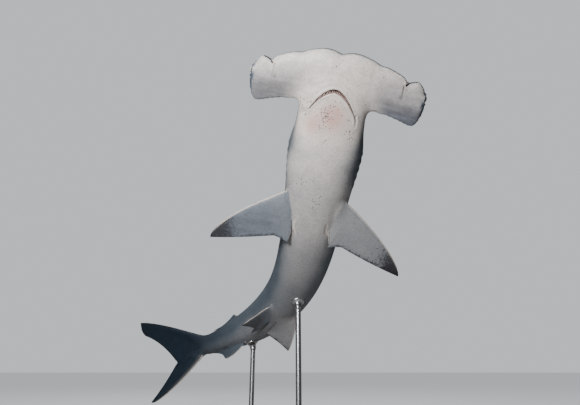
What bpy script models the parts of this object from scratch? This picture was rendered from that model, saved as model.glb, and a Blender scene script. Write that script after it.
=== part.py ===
"""A scalloped hammerhead shark at life size, climbing and turning, on a plain display stand.

Body measures are percents of the total length. A body point is (station, side, up): station
runs back from the snout along the spine, side is positive to the shark's right, and up is
towards its back. The spine bends, and place() turns a body point into a world point.
The world has +Z up and the shark's nose faces -Y. The origin is on the floor, at the middle
of the stand's base.
"""

import math

import bmesh
import bpy
from mathutils import Matrix, Quaternion, Vector
from mathutils.bvhtree import BVHTree

# Size
TOTAL_LENGTH = 2.5
PERCENT = TOTAL_LENGTH / 100
GAP = 0.0003
GAP_PERCENT = GAP / PERCENT

# Pose: the snout's place, the head's turn in degrees, and how the spine bends behind it.
SNOUT = (0.184, -0.787, 1.234)
NOSE_UP, HEADING, ROLL = 37.0, 10.5, 16.0
# Station, then degrees of bend per body length: to the right, downwards, and twist.
BENDS = (
    (0, -30, 0, 5),
    (12, 10, -5, 0),
    (22, -10, -10, -10),
    (34, 60, -15, -20),
    (46, 180, -15, -20),
    (56, 160, -5, -30),
    (66, 90, 0, -15),
    (76, 20, 5, 0),
    (90, -70, 5, -5),
)
SPINE_STEP = 0.5
SPINE_END = 104

# Sections of the body: station, half width, top and bottom.
BODY = (
    (1.8, 2.6, 0.8, -0.6),
    (3.2, 3.6, 1.35, -1.1),
    (5.2, 4.4, 2.0, -1.6),
    (8.6, 5.0, 3.0, -2.2),
    (11.5, 5.2, 4.1, -2.9),
    (15.5, 5.75, 5.5, -4.1),
    (22, 5.35, 6.7, -5.1),
    (28, 5.0, 7.2, -5.6),
    (36, 4.8, 7.3, -5.6),
    (42, 4.5, 7.1, -5.2),
    (48, 4.0, 6.6, -4.8),
    (54, 3.4, 5.6, -4.5),
    (60, 2.7, 4.4, -3.9),
    (66, 2.1, 3.2, -3.1),
    (71, 1.55, 2.3, -2.6),
    (73, 1.3, 2.3, -2.2),
    (76, 0.85, 3.6, 0.4),
    (80, 0.6, 5.6, 3.4),
    (88, 0.38, 9.6, 8.0),
    (95, 0.2, 13.0, 12.2),
)
RING_POINTS = 32
BELLY_SQUARENESS, BACK_SQUARENESS = 2.35, 1.95
WIDEST_BELOW_MIDDLE = 0.06
STATION_STEP = 2.1
# The body is parted at these stations.
LENGTHS = (
    ("head", 1.8, 11.5),
    ("neck", 11.5, 22.8),
    ("torso", 22.8, 46.0),
    ("hind_body", 46.0, 60.5),
    ("tail", 60.5, 72.6),
    ("caudal_fin", 72.6, 95.0),
)

# The hammer's front and rear edges and its thickness, by distance from the midline.
HAMMER_FRONT = (
    (0, 1.28),
    (0.9, 0.96),
    (2.0, 0.82),
    (3.2, 1.0),
    (4.5, 1.36),
    (5.6, 1.84),
    (6.3, 1.88),
    (7.6, 2.26),
    (8.7, 2.72),
    (9.2, 3.05),
    (9.45, 3.6),
    (9.8, 3.42),
    (10.3, 3.22),
    (10.9, 3.08),
    (11.4, 3.42),
    (12.0, 4.15),
    (12.4, 5.0),
    (12.6, 5.8),
)
HAMMER_REAR = (
    (0, 8.3),
    (4.6, 8.6),
    (6.3, 8.6),
    (7.5, 8.68),
    (9.2, 9.08),
    (10.4, 9.45),
    (11.2, 9.6),
    (11.8, 9.5),
    (12.2, 9.0),
    (12.45, 8.3),
    (12.6, 7.6),
)
HAMMER_THICKNESS = ((0, 3.2), (4, 2.7), (8, 2.15), (11, 1.9), (12.6, 1.85))
HAMMER_STATIONS = (
    0, 1, 2, 3, 4, 5, 5.8, 6.6, 7.6, 8.6, 9.1, 9.45, 9.8, 10.4, 10.9, 11.4, 11.8, 12.15, 12.4, 12.54,
)
HAMMER_UPPER_SHARE = 0.55
HAMMER_PEAK, HAMMER_EDGE = 0.42, 0.16
HAMMER_CHORD_POINTS = 12
HAMMER_ROUND_FROM, HAMMER_ROUND_TO = 11.7, 12.62

# The eye is at the front of each tip.
EYE_CENTRE = (5.4, 11.9, 0.05)
EYE_RADIUS = 0.72
ORBIT_RADII, ORBIT_INSET = (1.2, 0.66, 0.95), 0.1
SOCKET_RADII, SOCKET_OFFSET = (0.66, 0.9, 0.66), 0.3
LID_RADIUS, LID_THICKNESS, LID_SIDE = 0.72, 0.11, 12.22
LID_SEGMENTS, LID_POINTS = 18, 5

# A level, up from the spine, that is below all of the head.
BELOW_HEAD = -8

# The mouth: the arch of the upper jaw's edge, and the gap behind it. The cut, the lips and
# the teeth each reach a share of the way to its corners.
MOUTH_APEX = 5.75
MOUTH_HALF_WIDTH, MOUTH_DEPTH, MOUTH_ARCH_POWER = 3.45, 3.5, 1.9
MOUTH_OPEN, MOUTH_INSIDE = 0.5, 0.85
MOUTH_STEPS, MOUTH_FINE_STEPS = 28, 200
CUT_REACH, LIP_REACH, TEETH_REACH = 0.985, 0.97, 0.86
CUT_AT_CORNER, LIP_AT_CORNER, TOOTH_AT_CORNER = 0.3, 0.35, 0.45
LIP_RADIUS, LIP_INSET = 0.15, 0.07
# Teeth: how many, and the length, half width and half thickness of the largest.
UPPER_TEETH = (31, 0.3, 0.085, 0.06)
LOWER_TEETH = (27, 0.2, 0.075, 0.05)
TOOTH_ROOT, TOOTH_DROP, TOOTH_INSIDE = 0.14, 0.1, 0.22
TOOTH_VARIATION, TOOTH_GAP_SHARE, TOOTH_BEHIND_EDGE = 0.06, 0.8, 0.12

# Each nostril is a slit from the front edge's notch, with a flap, and a groove that runs
# inwards along the front edge. Points are (station, distance from the midline).
NOSTRIL = ((3.55, 9.4), (3.85, 9.34), (4.1, 9.28), (4.4, 9.16))
NOSTRIL_WIDTH, NOSTRIL_INSIDE, NOSTRIL_BLUNTNESS = 0.26, 0.6, 0.2
NOSE_FLAP = ((3.75, 9.16), (4.05, 9.08), (4.0, 9.36))
NOSE_FLAP_HEIGHT = 0.14
NOSE_GROOVE = ((3.35, 9.0), (2.95, 8.2), (2.7, 7.3), (2.45, 6.5))
NOSE_GROOVE_WIDTH, NOSE_GROOVE_INSIDE, NOSE_GROOVE_OUTSIDE = 0.2, 0.12, 0.3
NOSE_GROOVE_FADE = 0.6

# Gill slits: the station of each on the side of the neck, and its angles up the side.
GILLS = ((15.6, -24, 16), (16.9, -27, 18), (18.2, -28, 19), (19.5, -27, 19), (20.9, -20, 17))
GILL_WIDTH, GILL_INSIDE, GILL_LEAN, GILL_SLANT = 0.2, 0.5, 0.55, 0.5
GILL_STEPS, GILL_OUTSIDE, GILL_BLUNTNESS = 9, 0.3, 0.04

# The pit on the back just ahead of the tail fin.
TAIL_PIT, TAIL_PIT_RADII = (71.9, 0, 2.5), (0.42, 0.75, 0.4)

# Fins by their corners, as body points: the origin and the apex of the front edge, and the
# rear edge's corners from the axil to the last one before the apex, each with the hollow of
# the edge that follows it as a share of its length. Then the bow of the front edge as a share
# of its length, and the thickness at the root and near the apex.
FINS = {
    "pectoral_right": {
        "origin": (21.9, 4.5, -2.7),
        "apex": (31.3, 15.6, -6.6),
        "rear": (((26.3, 2.7, -4.5), 0), ((29.8, 3.2, -5.9), 0.05), ((29.1, 5.6, -5.6), -0.01)),
        "bow": 0.085,
        "thickness": (1.05, 0.22),
    },
    "pectoral_left": {
        "origin": (21.9, 4.5, -2.7),
        "apex": (32.4, 15.4, -5.1),
        "rear": (((26.3, 2.7, -4.5), 0), ((29.4, 3.3, -5.6), 0.05), ((29.1, 5.4, -5.2), -0.02)),
        "bow": 0.058,
        "thickness": (1.05, 0.22),
    },
    "pelvic_right": {
        "origin": (46.8, 2.7, -4.1),
        "apex": (52.9, 5.7, -6.75),
        "rear": (((51.2, 1.0, -4.65), 0), ((55.9, 2.2, -5.1), 0), ((54.0, 2.4, -5.1), 0.04)),
        "bow": 0.03,
        "thickness": (0.55, 0.14),
    },
    "pelvic_left": {
        "origin": (46.7, 2.6, -4.1),
        "apex": (53.1, 5.0, -6.9),
        "rear": (((49.4, 0.0, -4.75), 0), ((53.8, -0.2, -5.1), 0.04)),
        "bow": 0.03,
        "thickness": (0.55, 0.14),
    },
    "dorsal_first": {
        "origin": (27.2, 0, 7.0),
        "apex": (36.6, 0, 19.4),
        "rear": (((36.6, 0, 6.9), 0), ((40.0, 0, 7.6), 0.16)),
        "bow": 0.06,
        "thickness": (1.15, 0.24),
    },
    "dorsal_second": {
        "origin": (63.6, 0, 3.6),
        "apex": (66.1, 0, 5.4),
        "rear": (((67.4, 0, 2.9), 0), ((71.4, 0, 3.0), 0.1)),
        "bow": 0.05,
        "thickness": (0.45, 0.12),
    },
    "anal_fin": {
        "origin": (60.2, 0, -3.8),
        "apex": (66.3, 0, -5.2),
        "rear": (((65.8, 0, -3.1), 0), ((69.9, 0, -3.1), 0.04), ((67.2, 0, -4.2), 0.04)),
        "bow": 0.14,
        "thickness": (0.5, 0.12),
    },
    "caudal_web": {
        "origin": (72.7, 0, 1.9),
        "apex": (100.7, 0, 15.8),
        "rear": (
            ((72.9, 0, -2.0), 0),
            ((80.5, 0, -2.4), 0.035),
            ((95.6, 0, 9.6), -0.03),
            ((98.9, 0, 12.9), 0),
        ),
        "bow": 0.012,
        "thickness": (0.7, 0.18),
    },
    "caudal_lower": {
        "origin": (72.6, 0, -2.7),
        "apex": (85.3, 0, -10.2),
        "rear": (((80.4, 0, -2.2), 0), ((80.7, 0, -2.6), 0.05)),
        "bow": 0.1,
        "thickness": (0.9, 0.2),
    },
}
FIN_SECTIONS, FIN_CHORD_POINTS = 16, 7
FIN_SINK, FIN_LAG, FIN_TIP_SHARE, FIN_TAPER = 1.6, 1.5, 0.985, 0.8
FIN_PEAK, FIN_EDGE = 0.3, 0.07
# The bow of a front edge rises and falls by these powers, so that it is greatest far out.
BOW_RISE, BOW_FALL = 1.2, 0.6
ROOT_FLARE, ROOT_FLARE_REACH = 0.8, 0.12

# The stand: a rounded base plate and two rods up to the belly.
BASE_SIZE = (1.1, 0.86, 0.036)
BASE_CORNER = 0.12
ROD_RADIUS, ROD_SEGMENTS = 0.012, 20
FOOT_RADII, FOOT_HEIGHT = (0.042, 0.036), 0.012
SADDLE_RADIUS, SADDLE_DEPTH, SADDLE_ABOVE = 0.03, 0.03, 0.016
# Each rod's station and its distance to the right of the belly's lowest line.
RODS = (("stand_rod_front", 42.3, -0.1), ("stand_rod_rear", 59.6, 0.0))


def clear_scene():
    for thing in list(bpy.data.objects):
        bpy.data.objects.remove(thing, do_unlink=True)


def profile(table, at):
    """The columns of a table at this place, on a smooth curve through its rows."""
    last = len(table) - 1
    at = min(max(at, table[0][0]), table[last][0])
    row = max(i for i in range(last) if table[i][0] <= at)
    before, start, end, after = (
        table[max(row - 1, 0)],
        table[row],
        table[row + 1],
        table[min(row + 2, last)],
    )
    width = end[0] - start[0]
    t = (at - start[0]) / width
    values = []
    for k in range(1, len(start)):
        slope_in = (end[k] - before[k]) / (end[0] - before[0]) * width
        slope_out = (after[k] - start[k]) / (after[0] - start[0]) * width
        values.append(
            start[k] * (1 + 2 * t) * (1 - t) ** 2
            + slope_in * t * (1 - t) ** 2
            + end[k] * t * t * (3 - 2 * t)
            + slope_out * t * t * (t - 1)
        )
    return values


def straight(table, at):
    """The columns of a table at this place, on straight lines between its rows."""
    last = len(table) - 1
    at = min(max(at, table[0][0]), table[last][0])
    row = max(i for i in range(last) if table[i][0] <= at)
    start, end = table[row], table[row + 1]
    t = (at - start[0]) / (end[0] - start[0])
    return [start[k] + (end[k] - start[k]) * t for k in range(1, len(start))]


def head_frame():
    """The directions back, right and up at the snout, as the columns of a matrix."""
    level = Matrix(((0, -1, 0), (1, 0, 0), (0, 0, 1)))
    turned = Matrix.Rotation(math.radians(HEADING), 3, "Z") @ level
    raised = turned @ Matrix.Rotation(math.radians(NOSE_UP), 3, "Y")
    return raised @ Matrix.Rotation(math.radians(ROLL), 3, "X")


def walk_spine():
    """The point and frame at each step along the bent spine."""
    frame, point = head_frame(), Vector(SNOUT)
    steps = [(point.copy(), frame.copy())]
    for i in range(int(SPINE_END / SPINE_STEP)):
        right, down, twist = straight(BENDS, (i + 0.5) * SPINE_STEP)
        turn = Vector((twist, down, right)) * math.radians(1) * SPINE_STEP / 100
        half = Quaternion(turn.normalized(), turn.length / 2).to_matrix()
        point = point + (frame @ half) @ Vector((SPINE_STEP * PERCENT, 0, 0))
        frame = frame @ half @ half
        steps.append((point.copy(), frame.copy()))
    return steps


SPINE = walk_spine()


def spine_at(station):
    """The point and the frame of the spine at a station."""
    at = min(max(station / SPINE_STEP, 0), len(SPINE) - 2)
    row = int(at)
    share = at - row
    point = SPINE[row][0].lerp(SPINE[row + 1][0], share)
    turn = SPINE[row][1].to_quaternion().slerp(SPINE[row + 1][1].to_quaternion(), share)
    return point, turn.to_matrix()


def place(station, side, up):
    """The world point of a body point."""
    point, frame = spine_at(station)
    return point + frame @ Vector((0, side, up)) * PERCENT


def body_point(station, angle, grow=0.0):
    """The world point of the body's surface at an angle round it from the right side."""
    half_width, top, bottom = profile(BODY, station)
    middle, half_height = (top + bottom) / 2, (top - bottom) / 2
    widest = middle - half_height * WIDEST_BELOW_MIDDLE
    c, s = math.cos(angle), math.sin(angle)
    power = 2 / (BACK_SQUARENESS if s > 0 else BELLY_SQUARENESS)
    reach = (top - widest if s > 0 else widest - bottom) + grow
    side = (half_width + grow) * math.copysign(abs(c) ** power, c)
    return place(station, side, widest + reach * math.copysign(abs(s) ** power, s))


def body_ring(station, grow=0.0):
    """The outline of the body at a station, grown outwards by a length in percent."""
    angles = [2 * math.pi * i / RING_POINTS for i in range(RING_POINTS)]
    return [body_point(station, angle, grow) for angle in angles]


def stations_between(start, end):
    """Even stations from start to end, near the body's usual spacing."""
    count = max(2, round((end - start) / STATION_STEP))
    return [start + (end - start) * i / count for i in range(count + 1)]


def new_object(name, mesh_maker):
    """An object whose mesh is filled by mesh_maker(bm) and whose faces point outwards."""
    bm = bmesh.new()
    mesh_maker(bm)
    bmesh.ops.recalc_face_normals(bm, faces=bm.faces)
    mesh = bpy.data.meshes.new(name)
    bm.to_mesh(mesh)
    bm.free()
    made = bpy.data.objects.new(name, mesh)
    bpy.context.scene.collection.objects.link(made)
    return made


def loft(name, rings, mirrored_at=None, closed=False):
    """A closed solid through rings of points, triangulated alike on both faces of a fin."""

    def fill(bm):
        kept = rings[:-1] if closed else rings
        rows = [[bm.verts.new(point) for point in ring] for ring in kept]
        if closed:
            rows.append(rows[0])
        count = len(rows[0])
        for near, far in zip(rows, rows[1:]):
            for j in range(count):
                k = (j + 1) % count
                if mirrored_at is None or j < mirrored_at:
                    bm.faces.new((near[j], near[k], far[k]))
                    bm.faces.new((near[j], far[k], far[j]))
                else:
                    bm.faces.new((near[j], near[k], far[j]))
                    bm.faces.new((near[k], far[k], far[j]))
        if not closed:
            bm.faces.new(rows[0])
            bm.faces.new(rows[-1])

    return new_object(name, fill)


def combine(target, operation, tools):
    """The target joined with, or cut by, closed tool objects, which are then removed."""
    group = bpy.data.collections.new("tools")
    bpy.context.scene.collection.children.link(group)
    for tool in tools:
        group.objects.link(tool)
    modifier = target.modifiers.new("combine", "BOOLEAN")
    modifier.operation = operation
    modifier.operand_type = "COLLECTION"
    modifier.collection = group
    modifier.solver = "MANIFOLD"
    bpy.context.view_layer.update()
    graph = bpy.context.evaluated_depsgraph_get()
    mesh = bpy.data.meshes.new_from_object(target.evaluated_get(graph))
    target.modifiers.clear()
    target.data = mesh
    for tool in tools:
        bpy.data.objects.remove(tool, do_unlink=True)
    bpy.data.collections.remove(group)
    keep_largest(target)
    return target


def keep_largest(target):
    """Leaves only the largest closed surface of an object."""
    bm = bmesh.new()
    bm.from_mesh(target.data)
    left, shells = set(bm.faces), []
    while left:
        stack, shell = [left.pop()], set()
        while stack:
            face = stack.pop()
            shell.add(face)
            for edge in face.edges:
                for other in edge.link_faces:
                    if other in left:
                        left.discard(other)
                        stack.append(other)
        shells.append(shell)
    largest = max(shells, key=lambda shell: sum(face.calc_area() for face in shell))
    drop = [face for shell in shells if shell is not largest for face in shell]
    bmesh.ops.delete(bm, geom=drop, context="FACES")
    loose = [vert for vert in bm.verts if not vert.link_faces]
    bmesh.ops.delete(bm, geom=loose, context="VERTS")
    bm.to_mesh(target.data)
    bm.free()


def material(name, colour, roughness, metallic=0.0):
    made = bpy.data.materials.new(name)
    made.use_nodes = True
    shader = made.node_tree.nodes["Principled BSDF"]
    shader.inputs["Base Color"].default_value = (*colour, 1)
    shader.inputs["Roughness"].default_value = roughness
    shader.inputs["Metallic"].default_value = metallic
    return made


def finish(made, look, sharp_degrees=50):
    """Smooth shading and one material."""
    made.data.shade_smooth()
    made.data.set_sharp_from_angle(angle=math.radians(sharp_degrees))
    made.data.materials.clear()
    made.data.materials.append(look)


def body_length(name, start, end):
    """One length of the body, half a gap short of its neighbours."""
    rings = stations_between(start, end)
    rings[0] += GAP_PERCENT / 2
    rings[-1] -= GAP_PERCENT / 2
    return loft(name, [body_ring(station) for station in rings])


def grown_body(lengths=LENGTHS):
    """Lengths of the body a gap larger all round, which trim whatever meets the skin."""
    rings = []
    for _, start, end in lengths:
        rings += stations_between(start, end)[:-1]
    rings.append(lengths[-1][2] + GAP_PERCENT / 2)
    return loft("grown_body", [body_ring(station, GAP_PERCENT) for station in rings])


def foil(share, peak, edge):
    """Half thickness along a chord as a share of the greatest, round in front."""
    if share < peak:
        return math.sin(math.pi / 2 * math.sqrt(share / peak))
    fall = 0.5 + 0.5 * math.cos(math.pi * (share - peak) / (1 - peak))
    return edge + (1 - edge) * fall


def chord_shares(count):
    """Places along a chord, closer together at both ends."""
    return [0.5 - 0.5 * math.cos(math.pi * i / count) for i in range(count + 1)]


def hammer():
    """The wing-shaped front of the head, from tip to tip."""
    rings = []
    sides = [-y for y in reversed(HAMMER_STATIONS[1:])] + list(HAMMER_STATIONS)
    for side in sides:
        reach = abs(side)
        front, rear = profile(HAMMER_FRONT, reach)[0], profile(HAMMER_REAR, reach)[0]
        thickness = profile(HAMMER_THICKNESS, reach)[0]
        past = max(0, reach - HAMMER_ROUND_FROM) / (HAMMER_ROUND_TO - HAMMER_ROUND_FROM)
        thickness *= math.sqrt(1 - past * past)
        upper, lower = [], []
        for share in chord_shares(HAMMER_CHORD_POINTS):
            station = front + (rear - front) * share
            height = thickness * foil(share, HAMMER_PEAK, HAMMER_EDGE)
            upper.append(place(station, side, height * HAMMER_UPPER_SHARE))
            lower.append(place(station, side, -height * (1 - HAMMER_UPPER_SHARE)))
        rings.append(upper + lower[:0:-1])
    return loft("hammer", rings, HAMMER_CHORD_POINTS)


def ellipsoid(name, centre, radii, segments=16, rows=10):
    """A closed ellipsoid whose axes follow the body's at its centre."""
    point, frame = spine_at(centre[0])
    world = Matrix.Translation(place(*centre)) @ frame.to_4x4()
    size = Matrix.Diagonal((*[radius * PERCENT for radius in radii], 1))

    def fill(bm):
        bmesh.ops.create_uvsphere(
            bm, u_segments=segments, v_segments=rows, radius=1, matrix=world @ size
        )

    return new_object(name, fill)


def mirrored(point, hand):
    return (point[0], point[1] * hand, point[2])


def eye(name, hand, grow=0.0):
    return ellipsoid(name, mirrored(EYE_CENTRE, hand), (EYE_RADIUS + grow,) * 3)


def orbit(hand):
    """The swelling of the hammer's tip round the eye."""
    centre = (EYE_CENTRE[0], EYE_CENTRE[1] - ORBIT_INSET, EYE_CENTRE[2])
    return ellipsoid("orbit", mirrored(centre, hand), ORBIT_RADII)


def socket(hand):
    """What is cut away in front of the eye, so that it looks out."""
    centre = (EYE_CENTRE[0], EYE_CENTRE[1] + SOCKET_OFFSET, EYE_CENTRE[2])
    return ellipsoid("socket", mirrored(centre, hand), SOCKET_RADII)


def lid(hand):
    """The ring of skin round the eye's opening."""
    point, frame = spine_at(EYE_CENTRE[0])
    rings = []
    for i in range(LID_SEGMENTS):
        turn = 2 * math.pi * i / LID_SEGMENTS
        ring = []
        for j in range(LID_POINTS):
            tilt = 2 * math.pi * j / LID_POINTS
            reach = LID_RADIUS + LID_THICKNESS * math.cos(tilt)
            along, up = reach * math.cos(turn), reach * math.sin(turn) + EYE_CENTRE[2]
            side = (LID_SIDE + LID_THICKNESS * math.sin(tilt)) * hand
            ring.append(point + frame @ Vector((along, side, up)) * PERCENT)
        rings.append(ring)
    return loft("lid", rings + rings[:1], closed=True)


def underside(tree):
    """A function from (station, side) to how far up the skin of the head's underside is."""

    def find(station, side):
        start = place(station, side, BELOW_HEAD)
        upwards = (place(station, side, 0) - start).normalized()
        return BELOW_HEAD + tree.ray_cast(start, upwards)[3] / PERCENT

    return find


def skin_tree(made):
    bm = bmesh.new()
    bm.from_mesh(made.data)
    tree = BVHTree.FromBMesh(bm)
    bm.free()
    return tree


def along_path(path, i):
    """The direction of a path of (station, side) at one of its points."""
    start, end = path[max(i - 1, 0)], path[min(i + 1, len(path) - 1)]
    return Vector((end[0] - start[0], end[1] - start[1])).normalized()


def swell(share, bluntness):
    """A hump along a slit, whose ends are cut off by the bluntness as a share of its length."""
    return math.sin(math.pi * (bluntness + (1 - 2 * bluntness) * share))


def trench(path, widths, insides, skin_at, outside=0.5):
    """A cutter that opens a slit along a path of (station, side) on the head's underside."""
    rings = []
    for i, (station, side) in enumerate(path):
        along = along_path(path, i)
        across = Vector((-along.y, along.x)) * widths[i] / 2
        skin = skin_at(station, side)
        ring = [
            place(station + sign * across.x, side + sign * across.y, skin + up)
            for sign, up in ((-1, -outside), (1, -outside), (1, insides[i]), (-1, insides[i]))
        ]
        rings.append(ring)
    return loft("trench", rings)


def ridge(path, radii, skin_at, sides=6):
    """A rounded ridge along a path of (station, side) on the head's underside."""
    rings = []
    for i, (station, side) in enumerate(path):
        along = along_path(path, i)
        across = Vector((-along.y, along.x))
        skin = skin_at(station, side)
        ring = []
        for j in range(sides):
            turn = 2 * math.pi * j / sides
            offset = across * radii[i] * math.cos(turn)
            ring.append(
                place(station + offset.x, side + offset.y, skin + radii[i] * math.sin(turn))
            )
        rings.append(ring)
    return loft("ridge", rings)


def mouth_line(side):
    """The station of the upper jaw's edge at this distance from the midline."""
    return MOUTH_APEX + MOUTH_DEPTH * (abs(side) / MOUTH_HALF_WIDTH) ** MOUTH_ARCH_POWER


def mouth_gap(side):
    """How far behind the upper jaw's edge the lower jaw's edge is."""
    return MOUTH_OPEN * math.sqrt(max(0.0, 1 - (side / MOUTH_HALF_WIDTH) ** 2))


def mouth_sides(count, reach):
    """Distances from the midline that are evenly spaced along the arch of the mouth."""
    fine = [reach * (2 * i / MOUTH_FINE_STEPS - 1) for i in range(MOUTH_FINE_STEPS + 1)]
    walked = [0.0]
    for near, far in zip(fine, fine[1:]):
        walked.append(walked[-1] + math.hypot(far - near, mouth_line(far) - mouth_line(near)))
    table = tuple(zip(walked, fine))
    return [straight(table, walked[-1] * i / (count - 1))[0] for i in range(count)]


def mouth_path(count, reach, back):
    """Points along the arch, back from the upper jaw's edge by a share of the gap."""
    return [
        (mouth_line(side) + mouth_gap(side) * back, side) for side in mouth_sides(count, reach)
    ]


def mouth_cutter(skin_at):
    path = mouth_path(MOUTH_STEPS + 1, MOUTH_HALF_WIDTH * CUT_REACH, 0.5)
    widths, insides = [], []
    for i, (_, side) in enumerate(path):
        share = mouth_gap(side) / MOUTH_OPEN
        widths.append(mouth_gap(side) * abs(along_path(path, i).y))
        insides.append(MOUTH_INSIDE * (CUT_AT_CORNER + (1 - CUT_AT_CORNER) * share))
    return trench(path, widths, insides, skin_at)


def lips(skin_at):
    """The rounded edges of both jaws, which fade towards the corners."""
    made = []
    for back, inset in ((0, -LIP_INSET), (1, LIP_INSET)):
        path = mouth_path(MOUTH_STEPS + 1, MOUTH_HALF_WIDTH * LIP_REACH, back)
        path = [(station + inset, side) for station, side in path]
        shares = [mouth_gap(side) / MOUTH_OPEN for _, side in path]
        radii = [LIP_RADIUS * (LIP_AT_CORNER + (1 - LIP_AT_CORNER) * share) for share in shares]
        made.append(ridge(path, radii, skin_at))
    return made


def tooth(station, side, up, inwards, length, half_width, half_thickness):
    """A flat pointed tooth whose root is sunk in the jaw."""
    across = Vector((-inwards.y, inwards.x))
    base = Vector((station, side)) - inwards * TOOTH_ROOT
    tip = Vector((station, side)) + inwards * length

    def fill(bm):
        corners = [
            place(*(base + across * half_width), up),
            place(*base, up + half_thickness),
            place(*(base - across * half_width), up),
            place(*base, up - half_thickness),
        ]
        verts = [bm.verts.new(corner) for corner in corners]
        point = bm.verts.new(place(*tip, up - TOOTH_DROP))
        bm.faces.new(verts)
        for near, far in zip(verts, verts[1:] + verts[:1]):
            bm.faces.new((near, far, point))

    return new_object("tooth", fill)


def teeth(skin_at):
    """A row along each jaw, smaller towards the corners and leaning a little outwards."""
    made = []
    for (count, length, half_width, half_thickness), back in (
        (UPPER_TEETH, 0),
        (LOWER_TEETH, 1),
    ):
        path = mouth_path(count, MOUTH_HALF_WIDTH * TEETH_REACH, back)
        for i, (station, side) in enumerate(path):
            along = along_path(path, i)
            inwards = Vector((along.y, -along.x)) * (1 if back == 0 else -1)
            size = TOOTH_AT_CORNER + (1 - TOOTH_AT_CORNER) * mouth_gap(side) / MOUTH_OPEN
            size *= 1 + TOOTH_VARIATION * (i % 3 - 1)
            reach = min(length * size, mouth_gap(side) * abs(along.y) * TOOTH_GAP_SHARE)
            edge = TOOTH_BEHIND_EDGE if back else -TOOTH_BEHIND_EDGE
            up = skin_at(station + edge, side) + TOOTH_INSIDE
            made.append(
                tooth(station, side, up, inwards, reach, half_width * size, half_thickness)
            )
    return made


def nostril(hand, skin_at):
    """The cutters of one nostril's slit and of the groove that leads to it."""
    slit = [(station, side * hand) for station, side in NOSTRIL]
    groove = [(station, side * hand) for station, side in NOSE_GROOVE]
    last = len(slit) - 1
    shares = [swell(i / last, NOSTRIL_BLUNTNESS) for i in range(last + 1)]
    widths = [NOSTRIL_WIDTH * share for share in shares]
    slit_insides = [NOSTRIL_INSIDE * share for share in shares]
    fades = [1 - NOSE_GROOVE_FADE * i / last for i in range(last + 1)]
    groove_widths = [NOSE_GROOVE_WIDTH] * len(groove)
    groove_insides = [NOSE_GROOVE_INSIDE * fade for fade in fades]
    return [
        trench(slit, widths, slit_insides, skin_at),
        trench(groove, groove_widths, groove_insides, skin_at, NOSE_GROOVE_OUTSIDE),
    ]


def nose_flap(hand, skin_at):
    """The small pointed flap that reaches over the nostril from its inner side."""
    (station, side), *_ = NOSE_FLAP
    skin = skin_at(station, side * hand)
    near, far, tip_at = ((station, side * hand) for station, side in NOSE_FLAP)

    def fill(bm):
        low, high = (
            [bm.verts.new(place(*corner, skin_at(*corner) + up)) for corner in (near, far)]
            for up in (-NOSE_FLAP_HEIGHT, NOSE_FLAP_HEIGHT)
        )
        tip = bm.verts.new(place(*tip_at, skin))
        bm.faces.new((low[0], low[1], high[1], high[0]))
        bm.faces.new((low[0], low[1], tip))
        bm.faces.new((high[0], high[1], tip))
        bm.faces.new((low[0], high[0], tip))
        bm.faces.new((low[1], high[1], tip))

    return new_object("nose_flap", fill)


def gill_slit(station, low, high, hand):
    """A cutter for one gill slit, leaning forwards under the flap of skin ahead of it."""
    rings = []
    for i in range(GILL_STEPS + 1):
        share = i / GILL_STEPS
        degrees = low + (high - low) * share
        angle = math.radians(degrees if hand > 0 else 180 - degrees)
        at = station - GILL_LEAN * math.sin(math.pi * share) + GILL_SLANT * share
        open_by = math.sqrt(swell(share, GILL_BLUNTNESS))
        half, inside = GILL_WIDTH / 2 * open_by, GILL_INSIDE * open_by
        rings.append(
            [
                body_point(at - half, angle, GILL_OUTSIDE),
                body_point(at + half, angle, GILL_OUTSIDE),
                body_point(at + half - inside / 2, angle, -inside),
                body_point(at - half - inside / 2, angle, -inside),
            ]
        )
    return loft("gill_slit", rings)


def away_from(point, start, end):
    """The direction square to the line from start to end that points away from a point."""
    line = (end - start).normalized()
    offset = point - start
    return -(offset - line * offset.dot(line)).normalized()


def front_edge(origin, apex, bow, t):
    """The point a share t of the way along a fin's front edge, from the origin to the apex."""
    crest = BOW_RISE / (BOW_RISE + BOW_FALL)
    greatest = crest**BOW_RISE * (1 - crest) ** BOW_FALL
    return origin.lerp(apex, t) + bow * t**BOW_RISE * (1 - t) ** BOW_FALL / greatest


def rear_edge(corners, apex, front_corner, t):
    """The point a share t of the way along a fin's rear edge, from the axil to the apex."""
    points = [corner for corner, _ in corners] + [apex]
    lengths = [(end - start).length for start, end in zip(points, points[1:])]
    at, leg = t * sum(lengths), 0
    while leg < len(lengths) - 1 and at > lengths[leg]:
        at -= lengths[leg]
        leg += 1
    start, end, hollow = points[leg], points[leg + 1], corners[leg][1]
    inwards = -away_from(front_corner, start, end)
    share = at / lengths[leg]
    return start.lerp(end, share) + inwards * lengths[leg] * hollow * 4 * share * (1 - share)


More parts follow.
